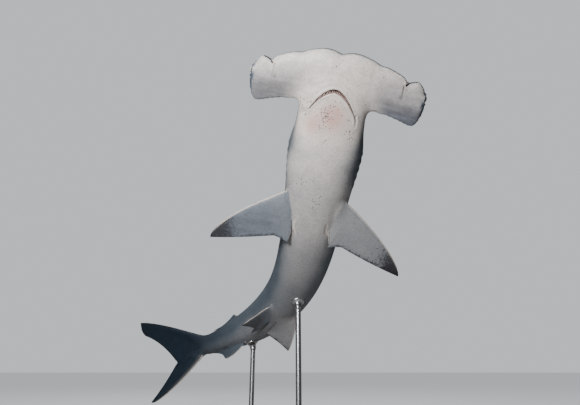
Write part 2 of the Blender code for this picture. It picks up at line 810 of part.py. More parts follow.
def fin(name, shape, hand=1):
    """A fin from its corners. Its sections fan from the front edge to the rear edge, and lag
    on the front edge so that they don't cross where the rear tip is long."""
    origin, apex = (Vector(mirrored(shape[key], hand)) for key in ("origin", "apex"))
    corners = [(Vector(mirrored(corner, hand)), hollow) for corner, hollow in shape["rear"]]
    axil, last = corners[0][0], corners[1][0]
    root_thickness, tip_thickness = shape["thickness"]
    normal = (apex - origin).cross(last - origin).normalized()
    bow = away_from(last, origin, apex) * (apex - origin).length * shape["bow"]
    sink = away_from(apex, origin, axil) * FIN_SINK
    rings = []
    for i in range(-1, FIN_SECTIONS + 1):
        t = max(i, 0) / FIN_SECTIONS
        lead = front_edge(origin, apex, bow, t**FIN_LAG * FIN_TIP_SHARE)
        trail = rear_edge(corners, apex, origin, t)
        if i < 0:
            lead, trail = lead + sink, trail + sink
        greatest = root_thickness + (tip_thickness - root_thickness) * t**FIN_TAPER
        greatest *= 1 + ROOT_FLARE * math.exp(-((t / ROOT_FLARE_REACH) ** 2))
        upper, lower = [], []
        for share in chord_shares(FIN_CHORD_POINTS):
            half = greatest / 2 * foil(share, FIN_PEAK, FIN_EDGE / greatest)
            middle = lead.lerp(trail, share)
            upper.append(place(*(middle + normal * half)))
            lower.append(place(*(middle - normal * half)))
        rings.append(upper + lower[:0:-1])
    return loft(name, rings, FIN_CHORD_POINTS)


def trimmed_fin(name, hand=1):
    """A fin with its root cut to the body's skin."""
    return combine(fin(name, FINS[name], hand), "DIFFERENCE", [grown_body()])


def rounded_plate(name, size, corner, steps=8):
    """A flat plate with round corners, its underside on the floor."""
    outline = []
    for quarter in range(4):
        sign_x = 1 if quarter in (0, 3) else -1
        sign_y = 1 if quarter in (0, 1) else -1
        for i in range(steps + 1):
            angle = math.pi / 2 * (quarter + i / steps)
            outline.append(
                (
                    sign_x * (size[0] / 2 - corner) + corner * math.cos(angle),
                    sign_y * (size[1] / 2 - corner) + corner * math.sin(angle),
                )
            )

    def fill(bm):
        face = bm.faces.new([bm.verts.new((x, y, 0)) for x, y in outline])
        top = bmesh.ops.extrude_face_region(bm, geom=[face])["geom"]
        verts = [item for item in top if isinstance(item, bmesh.types.BMVert)]
        bmesh.ops.translate(bm, verts=verts, vec=(0, 0, size[2]))

    return new_object(name, fill)


def cylinder(name, x, y, low, high, radius_low, radius_high):
    """An upright rod or cone between two heights."""

    def fill(bm):
        middle = Matrix.Translation((x, y, (low + high) / 2))
        bmesh.ops.create_cone(
            bm,
            cap_ends=True,
            segments=ROD_SEGMENTS,
            radius1=radius_low,
            radius2=radius_high,
            depth=high - low,
            matrix=middle,
        )

    return new_object(name, fill)


def lowest_of(station):
    """The lowest world point of the body's outline at a station."""
    return min(body_ring(station), key=lambda point: point.z)


def stand_rod(name, station, shift):
    """A rod from the base to the lowest line of the belly, with a foot and a saddle."""
    touch = lowest_of(station)
    x, y = touch.x + shift * PERCENT, touch.y
    floor, top = BASE_SIZE[2] + GAP, touch.z + SADDLE_ABOVE
    rod = cylinder(name, x, y, floor, top, ROD_RADIUS, ROD_RADIUS)
    foot = cylinder("foot", x, y, floor, floor + FOOT_HEIGHT, *FOOT_RADII)
    saddle = cylinder("saddle", x, y, touch.z - SADDLE_DEPTH, top, ROD_RADIUS, SADDLE_RADIUS)
    combine(rod, "UNION", [foot, saddle])
    return combine(rod, "DIFFERENCE", [grown_body()])


def build_head():
    """The head: the hammer with its lids and nostrils, and the mouth with lips and teeth."""
    made = body_length(*LENGTHS[0])
    combine(made, "UNION", [hammer(), orbit(1), orbit(-1)])
    skin_at = underside(skin_tree(made))
    combine(made, "UNION", [lid(1), lid(-1), *lips(skin_at)])
    for hand in (1, -1):
        combine(made, "DIFFERENCE", [eye("eye_room", hand, GAP_PERCENT), socket(hand)])
        combine(made, "DIFFERENCE", nostril(hand, skin_at))
    combine(made, "DIFFERENCE", [mouth_cutter(skin_at)])
    flaps = [nose_flap(hand, skin_at) for hand in (1, -1)]
    return combine(made, "UNION", flaps + teeth(skin_at))


def build_neck():
    """The neck, with the gill slits cut in both sides."""
    made = body_length(*LENGTHS[1])
    slits = [gill_slit(*gill, hand) for gill in GILLS for hand in (1, -1)]
    return combine(made, "DIFFERENCE", slits)


def build_tail():
    made = body_length(*LENGTHS[-2])
    return combine(made, "DIFFERENCE", [ellipsoid("pit", TAIL_PIT, TAIL_PIT_RADII, 14, 8)])


def build_caudal():
    """The tail fin: the spine's last length with both lobes, clear of the length before."""
    made = body_length(*LENGTHS[-1])
    lobes = [fin(key, FINS[key]) for key in ("caudal_web", "caudal_lower")]
    combine(made, "UNION", lobes)
    return combine(made, "DIFFERENCE", [grown_body(LENGTHS[-2:-1])])


def main():
    clear_scene()
    skin = material("skin", (0.36, 0.37, 0.36), 0.5)
    fin_skin = material("fin_skin", (0.28, 0.3, 0.31), 0.5)
    eye_look = material("eye", (0.02, 0.02, 0.02), 0.1)
    wood = material("stand_wood", (0.1, 0.06, 0.04), 0.45)
    steel = material("stand_steel", (0.6, 0.6, 0.6), 0.3, 1.0)

    finish(build_head(), skin)
    finish(build_neck(), skin)
    for length in LENGTHS[2:-2]:
        finish(body_length(*length), skin)
    finish(build_tail(), skin)
    finish(build_caudal(), fin_skin)
    for name in ("dorsal_first", "dorsal_second", "anal_fin"):
        finish(trimmed_fin(name), fin_skin)
    for word, hand in (("right", 1), ("left", -1)):
        for pair in ("pectoral_", "pelvic_"):
            finish(trimmed_fin(pair + word, hand), fin_skin)
        finish(eye("eye_" + word, hand), eye_look)
    finish(rounded_plate("stand_base", BASE_SIZE, BASE_CORNER), wood, 30)
    for name, station, shift in RODS:
        finish(stand_rod(name, station, shift), steel, 30)


main()
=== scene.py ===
"""The looks of a hammerhead shark model at life size, on its stand, in a plain studio.

The skin is made once, all round the animal, with the spine straight, and is then bent like
the solids. Body measures are percents of the total length. A body point is (station, side,
up): station runs back from the snout, side is positive to the shark's right, and up is
towards its back.
"""

import math

import bpy
import numpy as np
from mathutils import Matrix, Quaternion, Vector
from mathutils.kdtree import KDTree


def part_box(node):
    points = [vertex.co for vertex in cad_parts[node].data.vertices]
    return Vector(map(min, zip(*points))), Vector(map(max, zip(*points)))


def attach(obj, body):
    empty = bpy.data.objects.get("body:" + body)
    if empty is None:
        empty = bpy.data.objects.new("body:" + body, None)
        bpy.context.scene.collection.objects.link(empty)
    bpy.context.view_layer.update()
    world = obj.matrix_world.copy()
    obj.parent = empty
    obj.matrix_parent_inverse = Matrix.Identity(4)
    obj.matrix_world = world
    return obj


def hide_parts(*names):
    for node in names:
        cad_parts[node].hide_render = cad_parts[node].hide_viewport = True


bl_info = {
    "name": "Hammerhead Shark Model",
    "version": (1, 0, 0),
    "blender": (4, 5, 0),
    "location": "View3D > Sidebar > Shark",
    "description": "Builds a life-size hammerhead shark model on a display stand",
    "category": "Object",
}

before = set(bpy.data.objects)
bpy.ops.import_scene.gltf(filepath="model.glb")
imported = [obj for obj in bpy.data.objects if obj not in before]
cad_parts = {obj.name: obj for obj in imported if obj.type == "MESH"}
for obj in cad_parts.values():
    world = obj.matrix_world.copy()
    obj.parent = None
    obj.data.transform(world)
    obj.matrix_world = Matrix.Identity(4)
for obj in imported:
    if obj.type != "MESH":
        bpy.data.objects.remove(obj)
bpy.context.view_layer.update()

TOTAL_LENGTH = 2.5
PERCENT = TOTAL_LENGTH / 100

# Pose: the snout's place, the head's turn in degrees, and how the spine bends behind it.
SNOUT = (0.184, -0.787, 1.234)
NOSE_UP, HEADING, ROLL = 37.0, 10.5, 16.0
BENDS = np.array(
    [
        (0, -30, 0, 5),
        (12, 10, -5, 0),
        (22, -10, -10, -10),
        (34, 60, -15, -20),
        (46, 180, -15, -20),
        (56, 160, -5, -30),
        (66, 90, 0, -15),
        (76, 20, 5, 0),
        (90, -70, 5, -5),
    ],
    float,
)
SPINE_STEP, SPINE_END = 0.5, 104

# Sections of the body: station, half width, top and bottom.
BODY = (
    (1.8, 2.6, 0.8, -0.6),
    (3.2, 3.6, 1.35, -1.1),
    (5.2, 4.4, 2.0, -1.6),
    (8.6, 5.0, 3.0, -2.2),
    (11.5, 5.2, 4.1, -2.9),
    (15.5, 5.75, 5.5, -4.1),
    (22, 5.35, 6.7, -5.1),
    (28, 5.0, 7.2, -5.6),
    (36, 4.8, 7.3, -5.6),
    (42, 4.5, 7.1, -5.2),
    (48, 4.0, 6.6, -4.8),
    (54, 3.4, 5.6, -4.5),
    (60, 2.7, 4.4, -3.9),
    (66, 2.1, 3.2, -3.1),
    (71, 1.55, 2.3, -2.6),
    (73, 1.3, 2.3, -2.2),
    (76, 0.85, 3.6, 0.4),
    (80, 0.6, 5.6, 3.4),
    (88, 0.38, 9.6, 8.0),
    (95, 0.2, 13.0, 12.2),
)
BELLY_SQUARENESS, BACK_SQUARENESS = 2.35, 1.95
WIDEST_BELOW_MIDDLE = 0.06
BODY_FROM, BODY_TO = 1.8, 95.0

# The hammer's front and rear edges and its thickness, by distance from the midline.
HAMMER_FRONT = (
    (0, 1.28), (0.9, 0.96), (2.0, 0.82), (3.2, 1.0), (4.5, 1.36), (5.6, 1.84), (6.3, 1.88),
    (7.6, 2.26), (8.7, 2.72), (9.2, 3.05), (9.45, 3.6), (9.8, 3.42), (10.3, 3.22),
    (10.9, 3.08), (11.4, 3.42), (12.0, 4.15), (12.4, 5.0), (12.6, 5.8),
)
HAMMER_REAR = (
    (0, 8.3), (4.6, 8.6), (6.3, 8.6), (7.5, 8.68), (9.2, 9.08), (10.4, 9.45), (11.2, 9.6),
    (11.8, 9.5), (12.2, 9.0), (12.45, 8.3), (12.6, 7.6),
)
HAMMER_THICKNESS = ((0, 3.2), (4, 2.7), (8, 2.15), (11, 1.9), (12.6, 1.85))
HAMMER_UPPER_SHARE = 0.55
HAMMER_ROUND_FROM, HAMMER_ROUND_TO, HAMMER_END = 11.7, 12.62, 12.6

EYE_CENTRE, EYE_RADIUS = (5.4, 11.9, 0.05), 0.72
ORBIT_RADII = (1.2, 0.66, 0.95)
LID_RADIUS = 0.66

MOUTH_APEX, MOUTH_HALF_WIDTH, MOUTH_DEPTH, MOUTH_ARCH_POWER = 5.75, 3.45, 3.5, 1.9
MOUTH_OPEN, MOUTH_INSIDE = 0.5, 0.8

# Paths on the head's underside as (station, distance from the midline).
NOSTRIL = ((3.2, 10.75), (3.32, 10.25), (3.5, 9.8), (3.82, 9.4))
NOSE_FLAP = (3.55, 9.1)
NOSE_TROUGH = ((3.95, 9.08), (4.6, 9.1), (5.3, 9.16), (6.1, 9.3))
NOSE_GROOVE = ((3.35, 9.0), (2.95, 8.2), (2.7, 7.3), (2.45, 6.5))
MOUTH_CREASE = ((9.1, 3.42), (9.7, 3.62), (10.5, 3.66))
# Where the wrinkles that arch before the mouth cross the midline, and the folds beside them.
MOUTH_ARCS = (3.05, 3.75, 4.65)
CHEEK_FOLDS = (((1.5, 4.84), (3.05, 4.65), (4.4, 3.6)), ((2.2, 5.8), (4.1, 6.5)))

GILLS = ((15.6, -24, 16), (16.9, -27, 18), (18.2, -28, 19), (19.5, -27, 19), (20.9, -20, 17))
GILL_LEAN = 0.55

# Fins by their corners: the front edge's origin and apex, the rear edge's corners with the
# hollow of the edge after each, the front edge's bow, and the thickness at root and tip.
FINS = {
    "pectoral_right": (
        (21.9, 4.5, -2.7), (31.3, 15.6, -6.6),
        (((26.3, 2.7, -4.5), 0), ((29.8, 3.2, -5.9), 0.05), ((29.1, 5.6, -5.6), -0.01)),
        0.085, (1.05, 0.22),
    ),
    "pectoral_left": (
        (21.9, -4.5, -2.7), (32.4, -15.4, -5.1),
        (((26.3, -2.7, -4.5), 0), ((29.4, -3.3, -5.6), 0.05), ((29.1, -5.4, -5.2), -0.02)),
        0.058, (1.05, 0.22),
    ),
    "pelvic_right": (
        (46.8, 2.7, -4.1), (52.9, 5.7, -6.75),
        (((51.2, 1.0, -4.65), 0), ((55.9, 2.2, -5.1), 0), ((54.0, 2.4, -5.1), 0.04)),
        0.03, (0.55, 0.14),
    ),
    "pelvic_left": (
        (46.7, -2.6, -4.1), (53.1, -5.0, -6.9),
        (((49.4, 0.0, -4.75), 0), ((53.8, 0.2, -5.1), 0.04)),
        0.03, (0.55, 0.14),
    ),
    "dorsal_first": (
        (27.2, 0, 7.0), (36.6, 0, 19.4),
        (((36.6, 0, 6.9), 0), ((40.0, 0, 7.6), 0.16)),
        0.06, (1.15, 0.24),
    ),
    "dorsal_second": (
        (63.6, 0, 3.6), (66.1, 0, 5.4),
        (((67.4, 0, 2.9), 0), ((71.4, 0, 3.0), 0.1)),
        0.05, (0.45, 0.12),
    ),
    "anal_fin": (
        (60.2, 0, -3.8), (66.3, 0, -5.2),
        (((65.8, 0, -3.1), 0), ((69.9, 0, -3.1), 0.04), ((67.2, 0, -4.2), 0.04)),
        0.14, (0.5, 0.12),
    ),
    "caudal_web": (
        (72.7, 0, 1.9), (100.7, 0, 15.8),
        (
            ((72.9, 0, -2.0), 0), ((80.5, 0, -2.4), 0.035),
            ((95.6, 0, 9.6), -0.03), ((98.9, 0, 12.9), 0),
        ),
        0.012, (0.7, 0.18),
    ),
    "caudal_lower": (
        (72.6, 0, -2.7), (85.3, 0, -10.2),
        (((80.4, 0, -2.2), 0), ((80.7, 0, -2.6), 0.05)),
        0.1, (0.9, 0.2),
    ),
}
# Sections along each fin and points across it.
FIN_GRID = {"pectoral": (72, 26), "caudal": (72, 24), "dorsal_first": (56, 22)}
FIN_GRID_SMALL = (34, 14)
FIN_SINK, FIN_EDGE, FIN_LAG, FIN_PEAK, FIN_TIP_SHARE, FIN_TAPER = 1.6, 0.07, 1.5, 0.3, 0.985, 0.8
# The bow of a front edge rises and falls by these powers, so that it is greatest far out.
BOW_RISE, BOW_FALL = 1.2, 0.6
ROOT_FLARE, ROOT_FLARE_REACH = 0.8, 0.12

# The stand, in metres: the base's corner radius and the rounding of its edge. Then the
# station under which each rod stands.
BASE_CORNER, BASE_ROUND = 0.12, 0.008
RODS = (("front", 42.3), ("rear", 59.6))
# The outline of a rod's foot as (radius, height above the base).
FOOT = (
    (0.0405, -0.0005), (0.042, 0.001), (0.042, 0.0055), (0.0405, 0.0085), (0.037, 0.0105),
    (0.03, 0.0115), (0.02, 0.012), (0.0155, 0.0135), (0.013, 0.017), (0.012, 0.023),
)
# The pad's outline on the rod's ball joint, from the ball's middle. The belly meets it at PAD_AT.
PAD = (
    (0.004, -0.0144), (0.009, -0.012), (0.0127, -0.0078), (0.0147, -0.003), (0.015, 0.001),
    (0.0148, 0.005), (0.0155, 0.01), (0.0182, 0.0155), (0.0225, 0.0205), (0.0265, 0.0235),
    (0.0292, 0.026), (0.03, 0.029), (0.03, 0.033), (0.0285, 0.036), (0.02, 0.037),
)
PAD_AT = 0.029

FLESH_NODES = (
    "head", "neck", "torso", "hind_body", "tail", "caudal_fin", "dorsal_first",
    "dorsal_second", "anal_fin", "pectoral_right", "pectoral_left", "pelvic_right",
    "pelvic_left",
)


# Curves and tables


def profile(table, at):
    """The columns of a table at these places, on a smooth curve through its rows."""
    rows = np.array(table, float)
    at = np.clip(np.asarray(at, float), rows[0, 0], rows[-1, 0])
    last = len(rows) - 1
    row = np.clip(np.searchsorted(rows[:, 0], at, side="right") - 1, 0, last - 1)
    before, start = rows[np.maximum(row - 1, 0)], rows[row]
    end, after = rows[row + 1], rows[np.minimum(row + 2, last)]
    width = (end[..., 0] - start[..., 0])[..., None]
    t = (at[..., None] - start[..., :1]) / width
    slope_in = (end - before) / (end[..., :1] - before[..., :1]) * width
    slope_out = (after - start) / (after[..., :1] - start[..., :1]) * width
    values = (
        start * (1 + 2 * t) * (1 - t) ** 2
        + slope_in * t * (1 - t) ** 2
        + end * t * t * (3 - 2 * t)
        + slope_out * t * t * (t - 1)
    )
    return values[..., 1:]


def step(low, high, value):
    """0 below low, 1 above high, and smooth between."""
    t = np.clip((np.asarray(value, float) - low) / (high - low), 0, 1)
    return t * t * (3 - 2 * t)


def hill(distance, width):
    return np.exp(-((distance / width) ** 2))


# The bent spine


def walk_spine():
    """The points and frames at each step along the bent spine, as in the solids."""
    level = Matrix(((0, -1, 0), (1, 0, 0), (0, 0, 1)))
    turned = Matrix.Rotation(math.radians(HEADING), 3, "Z") @ level
    raised = turned @ Matrix.Rotation(math.radians(NOSE_UP), 3, "Y")
    axes, point = raised @ Matrix.Rotation(math.radians(ROLL), 3, "X"), Vector(SNOUT)
    points, frames = [point.copy()], [np.array(axes)]
    for i in range(int(SPINE_END / SPINE_STEP)):
        at = (i + 0.5) * SPINE_STEP
        right, down, twist = (np.interp(at, BENDS[:, 0], BENDS[:, k]) for k in (1, 2, 3))
        turn = Vector((twist, down, right)) * math.radians(1) * SPINE_STEP / 100
        half = Quaternion(turn.normalized(), turn.length / 2).to_matrix()
        point = point + (axes @ half) @ Vector((SPINE_STEP * PERCENT, 0, 0))
        axes = axes @ half @ half
        points.append(point.copy())
        frames.append(np.array(axes))
    return np.array(points), np.array(frames)


SPINE_POINTS, SPINE_FRAMES = walk_spine()


def place(points):
    """The world points of an array of body points."""
    points = np.atleast_2d(np.asarray(points, float))
    at = np.clip(points[:, 0] / SPINE_STEP, 0, len(SPINE_POINTS) - 1.001)
    row = at.astype(int)
    share = (at - row)[:, None]
    middle = SPINE_POINTS[row] * (1 - share) + SPINE_POINTS[row + 1] * share
    share = share[:, :, None]
    frames = SPINE_FRAMES[row] * (1 - share) + SPINE_FRAMES[row + 1] * share
    aside = np.column_stack([np.zeros(len(points)), points[:, 1:]])
    return middle + np.einsum("nij,nj->ni", frames, aside) * PERCENT


def spine_matrix(centre):
    """The world matrix of a body point, with axes back, right and up."""
    at = int(round(centre[0] / SPINE_STEP))
    turn = Matrix(SPINE_FRAMES[at].tolist()).to_4x4()
    return Matrix.Translation(Vector(place([centre])[0])) @ turn


# Mesh tools


def deselect():
    if bpy.context.object and bpy.context.object.mode != "OBJECT":
        bpy.ops.object.mode_set(mode="OBJECT")
    bpy.ops.object.select_all(action="DESELECT")


def choose(*objects):
    """Selects these objects alone. The first is active."""
    deselect()
    for obj in objects:
        obj.select_set(True)
    bpy.context.view_layer.objects.active = objects[0]


def named(name):
    """The object that an operator has just made, under its own name."""
    made = bpy.context.object
    made.name = made.data.name = name
    return made


def points_of(obj):
    found = np.empty(len(obj.data.vertices) * 3)
    obj.data.vertices.foreach_get("co", found)
    return found.reshape(-1, 3)


def normals_of(obj):
    found = np.empty(len(obj.data.vertices) * 3, np.float32)
    obj.data.vertices.foreach_get("normal", found)
    return found.reshape(-1, 3).astype(float)


def set_points(obj, points):
    obj.data.vertices.foreach_set("co", np.asarray(points, np.float32).ravel())
    obj.data.update()


def edges_of(obj):
    found = np.empty(len(obj.data.edges) * 2, np.int32)
    obj.data.edges.foreach_get("vertices", found)
    return found.reshape(-1, 2)


def select_place(obj, chosen):
    """Selects the faces whose vertices are all chosen, for edit mode."""
    mesh = obj.data
    corners = np.empty(len(mesh.loops), np.int32)
    mesh.loops.foreach_get("vertex_index", corners)
    starts = np.empty(len(mesh.polygons), np.int32)
    mesh.polygons.foreach_get("loop_start", starts)
    faces = np.logical_and.reduceat(chosen[corners], starts)
    edges = chosen[edges_of(obj)].all(axis=1)
    mesh.polygons.foreach_set("select", faces)
    mesh.edges.foreach_set("select", edges)
    mesh.vertices.foreach_set("select", chosen)


def subdivide_where(obj, chosen):
    """Halves the spacing of the mesh where its vertices are chosen."""
    choose(obj)
    select_place(obj, chosen)
    bpy.ops.object.mode_set(mode="EDIT")
    bpy.ops.mesh.select_mode(type="FACE")
    bpy.ops.mesh.subdivide(number_cuts=1, smoothness=0)
    bpy.ops.object.mode_set(mode="OBJECT")


def apply_modifier(obj, kind, **settings):
    choose(obj)
    bpy.ops.object.modifier_add(type=kind)
    modifier = obj.modifiers[-1]
    for name, value in settings.items():
        setattr(modifier, name, value)
    bpy.ops.object.modifier_apply(modifier=modifier.name)


def join_solid(target, tool):
    apply_modifier(target, "BOOLEAN", operation="UNION", object=tool, solver="MANIFOLD")
    bpy.data.objects.remove(tool, do_unlink=True)


def loft(name, rings):
    """A closed solid through rings of points, given as an array of rings by points by 3."""
    rings = np.concatenate([rings, rings[:, :1]], axis=1)
    deselect()
    bpy.ops.mesh.primitive_grid_add(
        x_subdivisions=rings.shape[1] - 1, y_subdivisions=rings.shape[0] - 1, size=1
    )
    made = named(name)
    set_points(made, rings.reshape(-1, 3))
    bpy.ops.object.mode_set(mode="EDIT")
    bpy.ops.mesh.select_all(action="SELECT")
    bpy.ops.mesh.remove_doubles(threshold=1e-4)
    bpy.ops.mesh.select_all(action="SELECT")
    bpy.ops.mesh.fill_holes(sides=0)
    bpy.ops.mesh.select_all(action="SELECT")
    bpy.ops.mesh.normals_make_consistent(inside=False)
    bpy.ops.object.mode_set(mode="OBJECT")
    return made


def turned(name, x, y, outline, around=96):
    """An upright round solid from its outline of radii and heights."""
    radius, height = np.array(outline)[:, :, None].transpose(1, 0, 2)
    angles = 2 * np.pi * np.arange(around) / around
    rings = [x + radius * np.cos(angles), y + radius * np.sin(angles), height + 0 * angles]
    return loft(name, np.stack(rings, axis=-1))


def rounded_plate(name, low, high, steps=16):
    """A flat plate between two corners, with round corners and a rounded upper edge."""
    half_x, half_y = (high.x - low.x) / 2, (high.y - low.y) / 2
    turn = np.linspace(0, math.pi / 2, steps + 1)
    insets = [(0.002, 0.0), (0, 0.002)]
    for angle in np.linspace(0, math.pi / 2, 7):
        insets.append((BASE_ROUND * (1 - math.cos(angle)), high.z - BASE_ROUND * (1 - math.sin(angle))))
    rings = []
    for inset, up in insets:
        ring = []
        for quarter in range(4):
            across = 1 if quarter in (0, 3) else -1
            along = 1 if quarter in (0, 1) else -1
            radius = BASE_CORNER - inset
            angles = turn + quarter * math.pi / 2
            x = across * (half_x - BASE_CORNER) + radius * np.cos(angles)
            y = along * (half_y - BASE_CORNER) + radius * np.sin(angles)
            ring.append(np.column_stack([x, y, np.full(len(x), up)]))
        rings.append(np.concatenate(ring))
    centre = [(high.x + low.x) / 2, (high.y + low.y) / 2, 0]
    return loft(name, np.array(rings) + centre)


def relax(obj, weights, rounds, factor=0.5):
    """Draws each vertex towards the middle of its neighbours, as far as its weight says."""
    edges, points = edges_of(obj), points_of(obj)
    count = len(points)
    near = np.bincount(edges.ravel(), minlength=count)[:, None]
    active = weights > 1e-3
    kept = active[edges].any(axis=1)
    a, b = edges[kept].T
    pull = (np.asarray(weights) * factor)[:, None]
    for _ in range(rounds):
        total = np.empty((count, 3))
        for k in range(3):
            total[:, k] = np.bincount(a, points[b, k], count) + np.bincount(b, points[a, k], count)
        middle = np.where(active[:, None], total / np.maximum(near, 1), points)
        points = points + (middle - points) * pull
    set_points(obj, points)


# The core of the skin: the body and the hammer


def body_rings(stations, around, grow=0.0):
    stations = np.asarray(stations, float)
    half_width, top, bottom = np.moveaxis(profile(BODY, stations), -1, 0)
    middle, half_height = (top + bottom) / 2, (top - bottom) / 2
    widest = middle - half_height * WIDEST_BELOW_MIDDLE
    angles = 2 * np.pi * np.arange(around) / around
    c, s = np.cos(angles), np.sin(angles)
    power = np.where(s > 0, 2 / BACK_SQUARENESS, 2 / BELLY_SQUARENESS)
    reach = np.where(s > 0, (top - widest)[:, None], (widest - bottom)[:, None]) + grow
    side = (half_width + grow)[:, None] * np.sign(c) * np.abs(c) ** power
    up = widest[:, None] + reach * np.sign(s) * np.abs(s) ** power
    return np.stack([np.repeat(stations[:, None], around, 1), side, up], axis=-1)


def foil(share, peak, edge):
    """Half thickness along a chord as a share of the greatest, round in front."""
    front = np.sin(np.pi / 2 * np.sqrt(np.clip(share / peak, 0, 1)))
    fall = 0.5 + 0.5 * np.cos(np.pi * np.clip((share - peak) / (1 - peak), 0, 1))
    return np.where(share < peak, front, edge + (1 - edge) * fall)


def chord_shares(count):
    return 0.5 - 0.5 * np.cos(np.pi * np.arange(count + 1) / count)


def both_sides(upper, lower):
    """Rings round a chord from the points of its two faces, which meet at the front."""
    return np.concatenate([upper, lower[:, :0:-1]], axis=1)


def hammer_rings(count=181, chord_points=40):
    sides = HAMMER_END * np.sin(np.linspace(-1, 1, count) * 1.25) / math.sin(1.25)
    reach = np.abs(sides)
    front, rear, thickness = (
        profile(table, reach)[:, 0] for table in (HAMMER_FRONT, HAMMER_REAR, HAMMER_THICKNESS)
    )
    past = np.clip((reach - HAMMER_ROUND_FROM) / (HAMMER_ROUND_TO - HAMMER_ROUND_FROM), 0, 1)
    thickness = thickness * np.sqrt(1 - past**2)
    shares = chord_shares(chord_points)
    height = thickness[:, None] * foil(shares, 0.42, 0.16)[None, :]
    station = front[:, None] + (rear - front)[:, None] * shares
    side = np.repeat(sides[:, None], len(shares), 1)
    upper = np.stack([station, side, height * HAMMER_UPPER_SHARE], axis=-1)
    lower = np.stack([station, side, -height * (1 - HAMMER_UPPER_SHARE)], axis=-1)
    return both_sides(upper, lower)


def orbit(hand):
    """The swelling of the hammer's tip round the eye."""
    deselect()
    bpy.ops.mesh.primitive_uv_sphere_add(segments=40, ring_count=24, radius=1)
    made = named("orbit")
    centre = np.array([EYE_CENTRE[0], (EYE_CENTRE[1] - 0.1) * hand, EYE_CENTRE[2]])
    set_points(made, points_of(made) * ORBIT_RADII + centre)
    return made


# The trunk is pressed together along its length while it is remeshed, so that its faces
# come out longer than those of the head.
SQUEEZE_AT = np.array([0, 24, 28, 110])
SQUEEZE = np.array([1.0, 1.0, 0.36, 0.36])
SQUEEZE_STATIONS = np.linspace(-5, 110, 1151)
SQUEEZED = np.concatenate(
    [[0], np.cumsum(np.interp(SQUEEZE_STATIONS[1:] - 0.05, SQUEEZE_AT, SQUEEZE) * 0.1)]
)
VOXEL = 0.205


def squeezed(points, back=False):
    table = (SQUEEZED, SQUEEZE_STATIONS) if back else (SQUEEZE_STATIONS, SQUEEZED)
    return np.column_stack([np.interp(points[:, 0], *table), points[:, 1:]])


def build_core():
    """The body, the hammer and the orbits as one even mesh, with the neck faired in."""
    stations = np.linspace(BODY_FROM, BODY_TO, 300)
    core = loft("skin", body_rings(stations, 96))
    join_solid(core, loft("hammer", hammer_rings()))
    for hand in (1, -1):
        join_solid(core, orbit(hand))
    set_points(core, squeezed(points_of(core)))
    apply_modifier(core, "REMESH", mode="VOXEL", voxel_size=VOXEL)
    set_points(core, squeezed(points_of(core), back=True))
    fair_head(core)
    return core


def fair_head(core):
    """Runs the hammer smoothly into the neck, and takes the steps out of the remesh."""
    station, side, up = points_of(core).T
    reach = np.abs(side)
    joint = step(3.2, 5.0, station) * step(14.5, 11.5, station) * step(9.0, 6.8, reach)
    edge = step(1.2, 0.5, np.abs(station - profile(HAMMER_REAR, reach)[:, 0])) * step(5.6, 6.6, reach)
    relax(core, joint * (1 - edge), 60)
    relax(core, np.ones(len(station)), 3)


# Fins


def away_from(point, start, end):
    line = (end - start) / np.linalg.norm(end - start)
    offset = point - start
    across = offset - line * offset.dot(line)
    return -across / np.linalg.norm(across)


def front_points(origin, apex, swell, t):
    """Points of a fin's front edge, a share t of the way from its origin to the apex."""
    crest = BOW_RISE / (BOW_RISE + BOW_FALL)
    greatest = crest**BOW_RISE * (1 - crest) ** BOW_FALL
    bow = t**BOW_RISE * (1 - t) ** BOW_FALL / greatest
    return origin + (apex - origin) * t[:, None] + swell * bow[:, None]


def rear_points(corners, apex, front_corner, t):
    """Points of a fin's rear edge, a share t of the way from the axil to the apex."""
    points = np.array([corner for corner, _ in corners] + [apex], float)
    lengths = np.linalg.norm(np.diff(points, axis=0), axis=1)
    ends = np.cumsum(lengths)
    found = np.empty((len(t), 3))
    for k, share in enumerate(t):
        at = share * ends[-1]
        leg = min(int(np.searchsorted(ends, at)), len(lengths) - 1)
        local = (at - (ends[leg] - lengths[leg])) / lengths[leg]
        start, end = points[leg], points[leg + 1]
        inwards = -away_from(front_corner, start, end)
        hollow = lengths[leg] * corners[leg][1] * 4 * local * (1 - local)
        found[k] = start + (end - start) * local + inwards * hollow
    return found


def fin_rings(shape, sections, chord_points):
    """Rings of a fin, and each point's share of the way to the tip and its distances from
    the front edge and the rear edge."""
    origin, apex, corners, bow, (root_thickness, tip_thickness) = shape
    origin, apex = np.array(origin, float), np.array(apex, float)
    axil, last = (np.array(corners[k][0], float) for k in (0, 1))
    normal = np.cross(apex - origin, last - origin)
    normal /= np.linalg.norm(normal)
    swell = away_from(last, origin, apex) * np.linalg.norm(apex - origin) * bow
    sink = away_from(apex, origin, axil) * FIN_SINK
    t = np.concatenate([[0], np.linspace(0, 1, sections + 1)])
    lead = front_points(origin, apex, swell, t**FIN_LAG * FIN_TIP_SHARE)
    trail = rear_points(corners, apex, origin, t)
    lead[0] += sink
    trail[0] += sink
    greatest = root_thickness + (tip_thickness - root_thickness) * t**FIN_TAPER
    greatest *= 1 + ROOT_FLARE * np.exp(-((t / ROOT_FLARE_REACH) ** 2))
    shares = chord_shares(chord_points)
    half = greatest[:, None] / 2 * np.stack([foil(shares, FIN_PEAK, FIN_EDGE / g) for g in greatest])
    middle = lead[:, None] + (trail - lead)[:, None] * shares[None, :, None]
    rings = both_sides(middle + normal * half[..., None], middle - normal * half[..., None])
    along = np.repeat(t[:, None], rings.shape[1], 1)
    chord = np.linalg.norm(trail - lead, axis=1)[:, None]
    across = np.concatenate([shares, shares[:0:-1]])[None] * chord
    return rings, np.stack([along, across, chord - across], axis=-1)


def fin_grid(name):
    found = [grid for start, grid in FIN_GRID.items() if name.startswith(start)]
    return found[0] if found else FIN_GRID_SMALL


